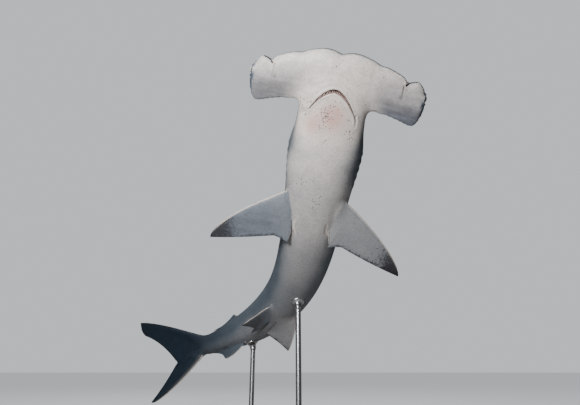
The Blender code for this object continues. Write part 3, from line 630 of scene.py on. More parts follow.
def join_fins(core):
    """Joins each fin to the core. Gives the fins' points, with the shares at each."""
    joined = {}
    for name, shape in FINS.items():
        rings, shares = fin_rings(shape, *fin_grid(name))
        joined[name] = (rings.reshape(-1, 3), shares.reshape(-1, 3))
        join_solid(core, loft(name, rings))
    return joined


def tree_of(points):
    tree = KDTree(len(points))
    for i, point in enumerate(points):
        tree.insert(point, i)
    tree.balance()
    return tree


def fin_shares(points, joined, within=0.012):
    """For each point, its fin's number (or -1) and what fin_rings tells of that place."""
    number = np.full(len(points), -1)
    shares = np.zeros((len(points), 3))
    for k, (fin_points, fin_values) in enumerate(joined.values()):
        tree = tree_of(fin_points)
        low, high = fin_points.min(axis=0) - 0.3, fin_points.max(axis=0) + 0.3
        for i in np.flatnonzero(((points > low) & (points < high)).all(axis=1)):
            _, at, distance = tree.find(points[i])
            if distance < within:
                number[i], shares[i] = k, fin_values[at]
    return number, shares


def fair_roots(core, joined):
    """Clears the slivers along the seams where the fins leave the body, and smooths there."""
    choose(core)
    select_place(core, seam_distance(core, joined) < 0.3)
    bpy.ops.object.mode_set(mode="EDIT")
    bpy.ops.mesh.select_mode(type="VERT")
    bpy.ops.mesh.remove_doubles(threshold=0.02)
    bpy.ops.mesh.dissolve_degenerate(threshold=0.01)
    bpy.ops.mesh.select_all(action="DESELECT")
    bpy.ops.mesh.select_non_manifold()
    bpy.ops.mesh.fill_holes(sides=0)
    bpy.ops.object.mode_set(mode="OBJECT")
    # A vertex with two edges alone would leave a flap when its faces are cut into triangles.
    lone = np.bincount(edges_of(core).ravel(), minlength=len(core.data.vertices)) == 2
    select_place(core, lone)
    bpy.ops.object.mode_set(mode="EDIT")
    bpy.ops.mesh.dissolve_verts()
    bpy.ops.object.mode_set(mode="OBJECT")
    relax(core, step(1.0, 0.15, seam_distance(core, joined)), 24)


def seam_distance(core, joined):
    """How far each point behind the head is from the nearest seam of a fin."""
    points, edges = points_of(core), edges_of(core)
    on_fin = fin_shares(points, joined)[0] >= 0
    seam = edges[on_fin[edges[:, 0]] != on_fin[edges[:, 1]]]
    tree = tree_of(points[np.unique(seam)])
    away = np.full(len(points), 9.0)
    for i in np.flatnonzero(points[:, 0] > 20):
        away[i] = tree.find(points[i])[2]
    return away


# Detail of the head and the gills, pressed into the finer parts of the mesh


def mouth_line(side):
    return MOUTH_APEX + MOUTH_DEPTH * (np.abs(side) / MOUTH_HALF_WIDTH) ** MOUTH_ARCH_POWER


def mouth_gap(side):
    return MOUTH_OPEN * np.sqrt(np.clip(1 - (side / MOUTH_HALF_WIDTH) ** 2, 0, 1))


def mouth_distance(station, side):
    """How far a point is behind the upper jaw's edge, square to it, and the gap's width."""
    slope = (
        MOUTH_DEPTH * MOUTH_ARCH_POWER / MOUTH_HALF_WIDTH
        * (np.abs(side) / MOUTH_HALF_WIDTH) ** (MOUTH_ARCH_POWER - 1)
    )
    lean = np.sqrt(1 + slope**2)
    return (station - mouth_line(side)) / lean, mouth_gap(side) / lean


def path_distance(path, station, side):
    """The distance to a path of (station, reach), and how far along it the nearest point is."""
    path = np.abs(np.array(path, float))
    nearest, along = np.full(len(station), 99.0), np.zeros(len(station))
    here = np.column_stack([station, np.abs(side)])
    for i, (start, end) in enumerate(zip(path, path[1:])):
        line = end - start
        t = np.clip((here - start) @ line / max(line.dot(line), 1e-9), 0, 1)
        distance = np.linalg.norm(here - start - t[:, None] * line, axis=1)
        closer = distance < nearest
        nearest[closer] = distance[closer]
        along[closer] = (i + t[closer]) / (len(path) - 1)
    return nearest, along


def refine(core):
    """Halves the mesh round the mouth, nostrils, eyes and gills, and again at their edges."""
    for again in (False, True):
        points = points_of(core)
        station, side, up = points.T
        reach = np.abs(side)
        below = normals_of(core)[:, 2] < -0.2
        behind, gap = mouth_distance(station, side)
        wide = 0.4 if again else 1.1
        mouth = (behind > -wide) & (behind < gap + wide) & (reach < MOUTH_HALF_WIDTH + wide * 0.6)
        nostril = path_distance(NOSTRIL + NOSE_TROUGH[:3], station, side)[0] < wide * 0.8
        groove = path_distance(NOSE_GROOVE, station, side)[0] < wide * 0.8
        from_eye = np.hypot(station - EYE_CENTRE[0], up - EYE_CENTRE[2])
        lid = (np.abs(from_eye - LID_RADIUS) < wide) & (reach > 11.6)
        chosen = (below & (mouth | nostril | groove)) | lid
        gills = (gill_distance(points)[0] < (0.2 if again else 0.5)) & (reach > 3.4)
        subdivide_where(core, chosen | gills)
    points = points_of(core)
    relax(core, step(26, 24, points[:, 0]), 3)


def round_angle(points):
    """The angle of each point round the body's outline, up from the widest place."""
    half_width, top, bottom = np.moveaxis(profile(BODY, points[:, 0]), -1, 0)
    middle, half_height = (top + bottom) / 2, (top - bottom) / 2
    widest = middle - half_height * WIDEST_BELOW_MIDDLE
    over = points[:, 2] > widest
    reach = np.where(over, top - widest, widest - bottom)
    power = np.where(over, BACK_SQUARENESS, BELLY_SQUARENESS) / 2
    c = np.clip(np.abs(points[:, 1]) / half_width, 0, 1) ** power
    s = np.clip(np.abs(points[:, 2] - widest) / reach, 0, 1) ** power
    return np.degrees(np.arctan2(np.where(over, s, -s), c))


def gill_distance(points):
    """The distance to the nearest gill slit, how far behind it, and how open it is there."""
    degrees = round_angle(points)
    nearest, behind, opening = (np.full(len(points), value) for value in (99.0, 99.0, 0.0))
    for station, low, high in GILLS:
        share = (degrees - low) / (high - low)
        inside = np.clip(share, 0, 1)
        at = station - GILL_LEAN * np.sin(np.pi * inside) + 0.5 * inside
        beyond = (np.abs(share - 0.5) - 0.5).clip(0) * (high - low) * 0.095
        distance = np.hypot(points[:, 0] - at, beyond)
        closer = distance < nearest
        nearest[closer] = distance[closer]
        behind[closer] = (points[:, 0] - at)[closer]
        shape = np.sqrt(np.clip(np.sin(np.pi * (0.02 + 0.96 * inside)), 0, 1))
        opening[closer] = (shape * step(0.12, 0, beyond))[closer]
    return nearest, behind, opening


def press_mouth(points, normals):
    """Moves of the underside for the mouth, its lips and the creases round it."""
    station, side, _ = points.T
    reach = np.abs(side)
    below = step(0.0, -0.45, normals[:, 2])
    behind, gap = mouth_distance(station, side)
    width = step(MOUTH_HALF_WIDTH * 1.0, MOUTH_HALF_WIDTH * 0.93, reach)
    open_share = np.sqrt(np.clip(1 - (reach / MOUTH_HALF_WIDTH) ** 2, 0, 1))
    inside = step(-0.03, 0.07, behind) * step(gap + 0.03, gap - 0.07, behind) * width
    depth = MOUTH_INSIDE * (0.25 + 0.75 * open_share) * inside
    fade = step(MOUTH_HALF_WIDTH * 1.08, MOUTH_HALF_WIDTH * 0.9, reach)
    upper_lip = 0.03 * hill(behind + 0.17, 0.13)
    lower_lip = 0.05 * hill(behind - gap - 0.16, 0.14)
    lip_folds = -0.015 * hill(behind + 0.5, 0.12) - 0.02 * hill(behind - gap - 0.5, 0.13)
    corner = np.hypot(station - mouth_line(MOUTH_HALF_WIDTH * 0.97), reach - MOUTH_HALF_WIDTH)
    pit = -0.1 * hill(corner, 0.15)
    crease, past = path_distance(MOUTH_CREASE, station, side)
    longer = np.where(side < 0, 1.0, 0.5)
    pit = pit - 0.12 * longer * (1 - past) * hill(crease, 0.1) + 0.04 * hill(crease - 0.3, 0.16)
    front_crease = sum(
        -0.025 * hill(station - at - 0.16 * (side - 0.3) ** 2, 0.09) for at in MOUTH_ARCS
    ) * step(4.0, 3.0, reach)
    bumps = 0.05 * hill(np.hypot(station - 2.76, reach - 1.1), 0.42)
    bumps = bumps - 0.05 * hill(reach - 4.7, 0.3) * step(1.2, 2.2, station) * step(5.6, 4.0, station)
    out = (upper_lip + lower_lip + lip_folds) * fade * (1 - inside) + pit + front_crease + bumps
    return (out * below), depth * below, inside * below


def press_nostrils(points, normals):
    """Moves of the underside for the nostrils' slits and the grooves that lead to them."""
    station, side, _ = points.T
    below = step(0.1, -0.3, normals[:, 2])
    slit, along = path_distance(NOSTRIL, station, side)
    shape = 0.35 + 0.65 * along**2
    inside = step(0.13 * shape, 0.05 * shape, slit)
    groove, far = path_distance(NOSE_GROOVE, station, side)
    out = 0.04 * hill(slit - 0.24, 0.1) * shape * (1 - inside)
    out = out + 0.09 * hill(path_distance((NOSE_FLAP, NOSE_FLAP), station, side)[0], 0.2)
    out = out - 0.06 * (1 - 0.6 * far) * hill(groove, 0.16)
    trough, far = path_distance(NOSE_TROUGH, station, side)
    out = out - 0.09 * hill(trough, 0.13) * (1 - 0.6 * far)
    return out * below, 0.3 * inside * shape * below, inside * below


def press_eyes(points):
    """Moves of the hammer's tips for the lids, and the mask of the opening."""
    station, side, up = points.T
    reach = np.abs(side)
    tip = step(11.5, 11.75, reach)
    from_eye = np.hypot(station - EYE_CENTRE[0], up - EYE_CENTRE[2])
    rim = 0.09 * hill(from_eye - LID_RADIUS - 0.08, 0.09) - 0.05 * hill(from_eye - LID_RADIUS - 0.34, 0.12)
    inside = step(LID_RADIUS + 0.02, LID_RADIUS - 0.07, from_eye)
    return rim * tip, inside * tip * 0.55


def press_details(core):
    """Presses all the details into the skin. Gives the masks of what lies inside openings, which the skin paints
    dark as shade.
    """
    points, normals = points_of(core), normals_of(core)
    hand = np.sign(points[:, 1])
    mouth_out, mouth_depth, mouth_inside = press_mouth(points, normals)
    nose_out, nose_depth, nose_inside = press_nostrils(points, normals)
    lid_out, socket = press_eyes(points)
    distance, behind, opening = gill_distance(points)
    sides = step(3.0, 3.8, np.abs(points[:, 1]))
    slit = step(0.13, 0.05, np.abs(behind)) * opening * sides
    flap = (0.06 * hill(behind + 0.3, 0.22) - 0.05 * hill(behind - 0.3, 0.18)) * opening * sides
    gill_out = np.where(distance < 1.2, flap * (1 - slit) - 0.32 * slit, 0)
    moved = points + normals * (mouth_out + nose_out + lid_out + gill_out)[:, None]
    moved[:, 2] += mouth_depth + nose_depth
    moved[:, 1] -= hand * socket
    set_points(core, moved)
    return mouth_inside, np.maximum(nose_inside, np.where(distance < 1.2, slit, 0))


# Where the dark of the back begins, as a share of the body's height, by station. It is the colour's border, set low
# so that it also paints the shade along the flanks.
FLANK_BORDER = (
    (0, 0.4), (11, 0.3), (16, 0.22), (24, 0.2), (32, 0.17), (46, 0.17), (54, 0.26), (60, 0.36),
    (68, 0.34), (74, 0.42),
)
# What is added to that on the right side and on the left: painted light and shade, by which the two sides differ.
RIGHT_BORDER_LIGHT_AND_SHADE = (
    (11, -0.1), (15, -0.08), (18, 0.1), (25, 0.1), (31, 0), (38, -0.06), (46, -0.1), (56, 0),
    (62, -0.08), (69, -0.1), (73, 0),
)
LEFT_BORDER_LIGHT_AND_SHADE = (
    (11, -0.03), (14, -0.13), (16.5, -0.14), (19, 0.0), (21, 0.14), (23, 0.1), (26, -0.04),
    (31, 0.0), (36, -0.08), (48, -0.08), (56, 0),
)
# Painted shade: how far the pale underside is turned to the colour of the flank, darker towards the tail, by
# station.
REARWARD_SHADE = (
    (10, 0), (16, 0.05), (18.5, 0.28), (22, 0.41), (26, 0.45), (30, 0.45), (40, 0.68), (50, 0.76),
    (60, 0.88), (70, 0.97), (76, 1),
)
# Painted shade: how much the hammer's underside darkens towards its rear edge, on the right and the left.
WING_SHADE = {
    1: ((2.8, 0), (4.6, 0.18), (6.2, 0.45), (7.8, 0.56), (8.8, 0.64)),
    -1: ((2.6, 0), (4.6, 0.3), (6.2, 0.48), (7.8, 0.7), (8.8, 0.76)),
}
# Each fin's colour on the scale from belly (0) to back (1), how far its upper face goes beyond that, and how far it
# is mixed with the colour of the flank. The right pectoral and pelvic fins are set darker than the left ones as
# painted shade.
FIN_TONES = {
    "pectoral_right": (0.34, 0.5, 0.72), "pectoral_left": (0.28, 0.5, 0.43),
    "pelvic_right": (0.34, 0.4, 0.5), "pelvic_left": (0.24, 0.4, 0.3),
    "dorsal_first": (0.9, 0, 0.58), "dorsal_second": (0.9, 0, 0.58), "anal_fin": (0.42, 0, 0.5),
    "caudal_web": (0.66, 0, 0.6), "caudal_lower": (0.55, 0, 0.6),
}
CAUDAL_FROM, CAUDAL_TONE, CAUDAL_GREY = (71.5, 74.5), 0.66, 0.6
# The curled folds behind the pectoral fins' roots, each with a painted highlight along it and a painted shadow in
# the slit beside it.
AXIL_FOLDS = (
    (((25.6, 2.3), (26.4, 2.75), (27.4, 2.6), (28.4, 2.1)), ((26.2, 3.1), (27.4, 3.0), (28.2, 2.5))),
    (((25.4, -2.6), (26.4, -2.5), (27.4, -2.6)), ((25.6, -2.3), (26.4, -2.2), (27.2, -2.3))),
)


def evened(obj, values, rounds=16):
    """One value per vertex, evened out over the neighbouring vertices."""
    a, b = edges_of(obj).T
    count = len(values)
    near = np.maximum(np.bincount(a, minlength=count) + np.bincount(b, minlength=count), 1)
    for _ in range(rounds):
        total = np.bincount(a, values[b], count) + np.bincount(b, values[a], count)
        values = (values + total / near) / 2
    return values


def fin_tones(core, number, normals):
    """Each point's colour on the scale as part of a fin, its greyness, and how far it is one."""
    own, grey = np.zeros(len(number)), np.zeros(len(number))
    for k, name in enumerate(FINS):
        on = number == k
        low, rise, greyness = FIN_TONES[name]
        own[on] = low + rise * step(-0.2, 0.4, normals[on, 2])
        grey[on] = greyness
    on_fin = evened(core, (number >= 0).astype(float))
    near = np.maximum(on_fin, 1e-6)
    share = step(0.35, 0.97, on_fin)
    return evened(core, own) / near, evened(core, grey) / near * share, share


def scale_heights(points, normals):
    """How far round from belly (0) to back (1) each point is, with the colour's border at 0.5."""
    station, side, up = points.T
    reach = np.abs(side)
    _, top, bottom = np.moveaxis(profile(BODY, station), -1, 0)
    border = np.interp(station, *np.transpose(FLANK_BORDER))
    right = 0.5 + 0.5 * np.tanh(side / 1.6)
    # The two sides' tables raise and lower the border as painted light and shade.
    border = border + (1 - right) * np.interp(station, *np.transpose(LEFT_BORDER_LIGHT_AND_SHADE))
    border = border + right * np.interp(station, *np.transpose(RIGHT_BORDER_LIGHT_AND_SHADE))
    body = 0.5 + 1.7 * ((up - bottom) / (top - bottom) - border)
    rear = profile(HAMMER_REAR, reach)[:, 0]
    hammer = 0.5 + 0.85 * (normals[:, 2] + 0.28) + 0.5 * step(12.1, 12.5, reach)
    hammer += 0.4 * step(11.3, 12.4, reach) * step(4.8, 6.2, station)
    from_eye = np.hypot(station - EYE_CENTRE[0], up - EYE_CENTRE[2])
    hammer += 0.32 * step(1.9, 0.7, from_eye) * step(11.0, 12.0, reach)
    hammer += 0.4 * hill(station - rear, 0.16) * step(5.0, 6.0, reach)
    head = step(14, 9.4, station)
    return body * (1 - head) + hammer * head


def wing_shade(points, normals):
    """How much painted shade darkens the underside of the hammer at each point."""
    station, side, _ = points.T
    right = 0.5 + 0.5 * np.tanh(side)
    shade = sum(
        share * np.interp(station, *np.transpose(WING_SHADE[hand]))
        for hand, share in ((1, right), (-1, 1 - right))
    )
    outwards = step(3.9, 7.0, np.abs(side) - 0.35 * (station - 5))
    return shade * outwards * step(12, 9.6, station) * step(0.2, -0.3, normals[:, 2])


def store(obj, name, values):
    attribute = obj.data.attributes.new(name, "FLOAT", "POINT")
    attribute.data.foreach_set("value", np.asarray(values, np.float32))


def store_vector(obj, name, values):
    attribute = obj.data.attributes.new(name, "FLOAT_VECTOR", "POINT")
    attribute.data.foreach_set("vector", np.asarray(values, np.float32).ravel())


def throat_marks(points, normals):
    """The blush of the throat, and where its pores and those of the jaw crowd."""
    station, side, _ = points.T
    below = step(0, -0.4, normals[:, 2])
    blush = hill(np.hypot((station - 9.3) / 1.7, (side + 0.4) / 1.5), 1.0)
    blush = blush + 0.85 * hill(np.hypot((station - 11.0) / 1.3, (side - 2.4) / 1.0), 1.0)
    blush = blush + 0.3 * hill(np.hypot((station - 10.2) / 2.6, (side - 0.6) / 3.0), 1.0)
    crowd = hill(np.hypot((station - 9.5) / 1.8, (side - 0.5) / 1.1), 1.0)
    for at, across, amount in (
        (8.0, 4.1, 0.8), (9.4, 4.2, 0.8), (8.2, -5.8, 0.7), (8.6, -4.4, 0.35), (11.9, -3.2, 0.5),
        (9.6, -2.4, 0.5), (7.6, 6.4, 0.4), (8.4, 8.4, 0.4), (2.6, 0.0, 0.25), (8.8, 4.5, 0.6),
        (20.5, 4.0, 0.5), (19.4, 2.3, 0.4), (22.2, -0.2, 0.6), (21.4, -0.3, 0.5),
    ):
        crowd = np.maximum(crowd, amount * hill(np.hypot(station - at, side - across), 0.7))
    return np.clip(blush, 0, 1) * below, crowd * below


def crease_shade_and_highlights(points, normals):
    """Painted shade in the creases behind the mouth's corners, the troughs behind the nostrils, the wrinkles, the
    folds and the slits by the pectoral fins, and painted highlights on the ridges beside them and on the nose flaps.
    """
    station, side, _ = points.T
    below = step(0.1, -0.3, normals[:, 2])
    left = side < 0
    crease, past = path_distance(MOUTH_CREASE, station, side)
    trough, far = path_distance(NOSE_TROUGH, station, side)
    dark = np.where(left, 0.8, 0.35) * (1 - past) * hill(crease, 0.07)
    arch = np.abs(side) < 4
    for at in MOUTH_ARCS:
        wrinkle = 0.09 * hill(station - at - 0.16 * (side - 0.3) ** 2, 0.09) * arch
        dark = np.maximum(dark, wrinkle * step(4.0, 2.5, np.abs(side)))
    for path in CHEEK_FOLDS:
        fold, along = path_distance(path, station, side)
        dark = np.maximum(dark, 0.1 * hill(fold, 0.28) * np.sin(np.pi * along))
    dark = np.maximum(dark, np.where(left, 0.75, 0.3) * (1 - far**2) * hill(trough, 0.09))
    dark = np.maximum(dark, 0.5 * hill(path_distance(((5.5, 8.9), (5.5, 8.9)), station, side)[0], 0.3))
    light = np.where(left, 0.7, 0.3) * (1 - past) * hill(crease - 0.2, 0.08)
    flap = path_distance((NOSE_FLAP, NOSE_FLAP), station, side)[0]
    light = np.maximum(light, 0.8 * hill(flap, 0.2))
    for path, slit in AXIL_FOLDS:
        fold, along = path_distance(path, station, side)
        here = (np.sign(path[0][1]) == np.sign(side)) * step(0.0, 0.1, along * (1.05 - along))
        light = np.maximum(light, 0.9 * here * hill(fold, 0.13))
        dark = np.maximum(dark, 0.6 * here * hill(path_distance(slit, station, side)[0], 0.1))
    return dark * below, light * below


def store_marks(core, joined, mouth, shaded_openings):
    """Stores with the skin's vertices all that its material needs to know of each place."""
    points, normals = points_of(core), normals_of(core)
    number, shares = fin_shares(points, joined, within=0.15)
    station = points[:, 0]
    own, grey, share = fin_tones(core, number, normals)
    height = scale_heights(points, normals)
    caudal = step(*CAUDAL_FROM, station)
    height = height + (own - height) * share
    height = height + (CAUDAL_TONE - height) * caudal
    grey = grey + (CAUDAL_GREY - grey) * caudal
    on_fin = number >= 0
    pectoral = np.isin(number, [k for k, name in enumerate(FINS) if name.startswith("pectoral")])
    along, from_front, from_rear = shares.T
    tip = np.where(pectoral, step(0.58, 0.94, along), 0.4 * on_fin * step(0.75, 1.0, along))
    off_root = on_fin * step(0.0, 0.08, along)
    edge = step(0.9, 0.04, from_rear) * off_root
    # Painted highlight along the fins' front edges and the pectoral fins' inner margins; a broader pale band along
    # the lower tail lobe's front.
    front = step(0.3, 0.06, from_front) * off_root * step(1.0, 0.85, along)
    front = np.maximum(front, step(0.16, 0.04, from_rear) * pectoral * step(0.2, 0.12, along))
    lower = number == list(FINS).index("caudal_lower")
    front = np.maximum(front, 0.16 * lower * step(1.6, 0.2, from_front) * step(0.95, 0.5, along))
    # Painted shade on the outer part of the right pectoral fin, stored with the hammer's painted shade.
    pectoral_shade = (number == list(FINS).index("pectoral_right")) * step(0.15, 0.55, along)
    wing = wing_shade(points, normals) + 0.34 * pectoral_shade
    # Painted light: the left pelvic fin keeps more of the pale underside against the painted shade towards the tail.
    pelvic_light = evened(core, (number == list(FINS).index("pelvic_left")).astype(float))
    throat, crowd = throat_marks(points, normals)
    # Painted shade in creases and folds, and painted highlights beside them.
    crease_shade, crease_highlight = crease_shade_and_highlights(points, normals)
    for name, values in (
        ("height", height), ("tip", tip), ("edge", edge), ("front", np.maximum(front, crease_highlight)),
        ("mouth", mouth), ("opening", np.maximum(shaded_openings, crease_shade)), ("throat", throat),
        ("crowd", crowd), ("fin", grey), ("wing", wing),
        # Painted shade: the underside turns to the flank's colour towards the tail, and the tail darkens.
        ("rearwards", np.interp(station, *np.transpose(REARWARD_SHADE)) * (1 - 0.35 * pelvic_light)),
        ("tail", step(56, 79, station)),
    ):
        store(core, name, values)
    store_vector(core, "body", points)


# Materials


def new_node(tree, kind, inputs=(), **settings):
    """A node with its settings, and its inputs given as values or as sockets to link."""
    made = tree.nodes.new(kind)
    for name, value in settings.items():
        setattr(made, name, value)
    for key, value in dict(inputs).items():
        if isinstance(value, bpy.types.NodeSocket):
            tree.links.new(value, made.inputs[key])
        else:
            made.inputs[key].default_value = value
    return made


def maths(tree, operation, *values, clamp=False):
    made = new_node(tree, "ShaderNodeMath", dict(enumerate(values)), operation=operation)
    made.use_clamp = clamp
    return made.outputs[0]


def mixed(tree, factor, first, second, blend="MIX"):
    """A colour between two, by a factor."""
    made = tree.nodes.new("ShaderNodeMix")
    made.data_type, made.blend_type, made.clamp_factor = "RGBA", blend, True
    for key, value in ((0, factor), (6, first), (7, second)):
        if isinstance(value, bpy.types.NodeSocket):
            tree.links.new(value, made.inputs[key])
        else:
            made.inputs[key].default_value = (*value, 1) if key else value
    return made.outputs[2]


def ramped(tree, value, low, high):
    """A mask that rises smoothly from 0 at low to 1 at high."""
    made = new_node(
        tree,
        "ShaderNodeMapRange",
        {"Value": value, "From Min": low, "From Max": high, "To Min": 0.0, "To Max": 1.0},
        interpolation_type="SMOOTHSTEP",
    )
    return made.outputs[0]


def mark(tree, name):
    return new_node(tree, "ShaderNodeAttribute", attribute_name=name).outputs["Fac"]


def new_group(name, inputs, outputs):
    """A shader node group with its sockets, and its input and output nodes."""
    tree = bpy.data.node_groups.new(name, "ShaderNodeTree")
    for title, kind, default in inputs:
        socket = tree.interface.new_socket(title, in_out="INPUT", socket_type=kind)
        if default is not None:
            socket.default_value = default
    for title, kind in outputs:
        tree.interface.new_socket(title, in_out="OUTPUT", socket_type=kind)
    return tree, tree.nodes.new("NodeGroupInput"), tree.nodes.new("NodeGroupOutput")


def blotches_group():
    """Soft uneven patches, as a mask round 0.5."""
    tree, given, out = new_group(
        "soft_blotches",
        [
            ("Vector", "NodeSocketVector", None),
            ("Scale", "NodeSocketFloat", 3.0),
            ("Detail", "NodeSocketFloat", 4.0),
            ("Contrast", "NodeSocketFloat", 1.0),
        ],
        [("Mask", "NodeSocketFloat")],
    )
    noise = new_node(
        tree,
        "ShaderNodeTexNoise",
        {"Vector": given.outputs[0], "Scale": given.outputs[1], "Detail": given.outputs[2]},
    )
    centred = maths(tree, "SUBTRACT", noise.outputs["Fac"], 0.5)
    spread = maths(tree, "MULTIPLY_ADD", centred, given.outputs[3], 0.5, clamp=True)
    tree.links.new(spread, out.inputs[0])
    return tree


def specks_group():
    """Small round dots, thinned out where the amount is low."""
    tree, given, out = new_group(
        "small_specks",
        [
            ("Vector", "NodeSocketVector", None),
            ("Scale", "NodeSocketFloat", 60.0),
            ("Amount", "NodeSocketFloat", 0.3),
            ("Size", "NodeSocketFloat", 0.2),
        ],
        [("Mask", "NodeSocketFloat")],
    )
    cells = new_node(
        tree, "ShaderNodeTexVoronoi", {"Vector": given.outputs[0], "Scale": given.outputs[1]}
    )
    chance = new_node(tree, "ShaderNodeSeparateColor", {"Color": cells.outputs["Color"]})
    chosen = maths(tree, "LESS_THAN", chance.outputs[0], given.outputs[2])
    reach = maths(tree, "MULTIPLY", given.outputs[3], maths(tree, "ADD", chance.outputs[1], 0.4))
    dot = maths(tree, "SUBTRACT", 1.0, maths(tree, "DIVIDE", cells.outputs["Distance"], reach), clamp=True)
    soft = ramped(tree, dot, 0.0, 0.7)
    tree.links.new(maths(tree, "MULTIPLY", soft, chosen), out.inputs[0])
    return tree


def denticles_group():
    """The fine roughness of the skin, with faint lengthwise wrinkles, as a height."""
    tree, given, out = new_group(
        "denticle_grain",
        [("Vector", "NodeSocketVector", None), ("Wrinkles", "NodeSocketFloat", 0.3)],
        [("Height", "NodeSocketFloat")],
    )
    grain = new_node(
        tree, "ShaderNodeTexVoronoi", {"Vector": given.outputs[0], "Scale": 420.0}, feature="SMOOTH_F1"
    )
    fine = new_node(
        tree, "ShaderNodeTexNoise", {"Vector": given.outputs[0], "Scale": 110.0, "Detail": 5.0}
    )
    broad = new_node(
        tree, "ShaderNodeTexNoise", {"Vector": given.outputs[0], "Scale": 17.0, "Detail": 4.0}
    )
    height = maths(tree, "MULTIPLY_ADD", grain.outputs["Distance"], 0.35, fine.outputs["Fac"])
    wrinkled = maths(tree, "MULTIPLY", broad.outputs["Fac"], given.outputs[1])
    tree.links.new(maths(tree, "ADD", height, wrinkled), out.inputs[0])
    return tree


def grain_group():
    """Long wood grain with darker pores, as a mask."""
    tree, given, out = new_group(
        "wood_grain",
        [("Vector", "NodeSocketVector", None), ("Scale", "NodeSocketFloat", 1.0)],
        [("Bands", "NodeSocketFloat"), ("Pores", "NodeSocketFloat")],
    )
    longer = new_node(
        tree, "ShaderNodeMapping", {"Vector": given.outputs[0], "Scale": (1.1, 9.0, 9.0)}
    )
    bands = new_node(
        tree,
        "ShaderNodeTexNoise",
        {"Vector": longer.outputs[0], "Scale": given.outputs[1], "Detail": 6.0, "Distortion": 1.4},
    )
    narrow = new_node(
        tree, "ShaderNodeMapping", {"Vector": given.outputs[0], "Scale": (14.0, 260.0, 260.0)}
    )
    pores = new_node(tree, "ShaderNodeTexNoise", {"Vector": narrow.outputs[0], "Scale": 1.0, "Detail": 2.0})
    tree.links.new(ramped(tree, bands.outputs["Fac"], 0.32, 0.68), out.inputs[0])
    tree.links.new(ramped(tree, pores.outputs["Fac"], 0.56, 0.7), out.inputs[1])
    return tree


def group(tree, made, **inputs):
    return new_node(tree, "ShaderNodeGroup", node_tree=made, inputs={}) if not inputs else _group(tree, made, inputs)


def _group(tree, made, inputs):
    placed = tree.nodes.new("ShaderNodeGroup")
    placed.node_tree = made
    for key, value in inputs.items():
        if isinstance(value, bpy.types.NodeSocket):
            tree.links.new(value, placed.inputs[key])
        else:
            placed.inputs[key].default_value = value
    return placed


def new_material(name):
    made = bpy.data.materials.new(name)
    made.use_nodes = True
    tree = made.node_tree
    shader = tree.nodes["Principled BSDF"]
    return made, tree, shader


def bump(tree, shader, height, strength, distance):
    made = new_node(
        tree, "ShaderNodeBump", {"Height": height, "Strength": strength, "Distance": distance}
    )
    tree.links.new(made.outputs[0], shader.inputs["Normal"])


def shared(name, maker):
    return bpy.data.node_groups.get(name) or maker()


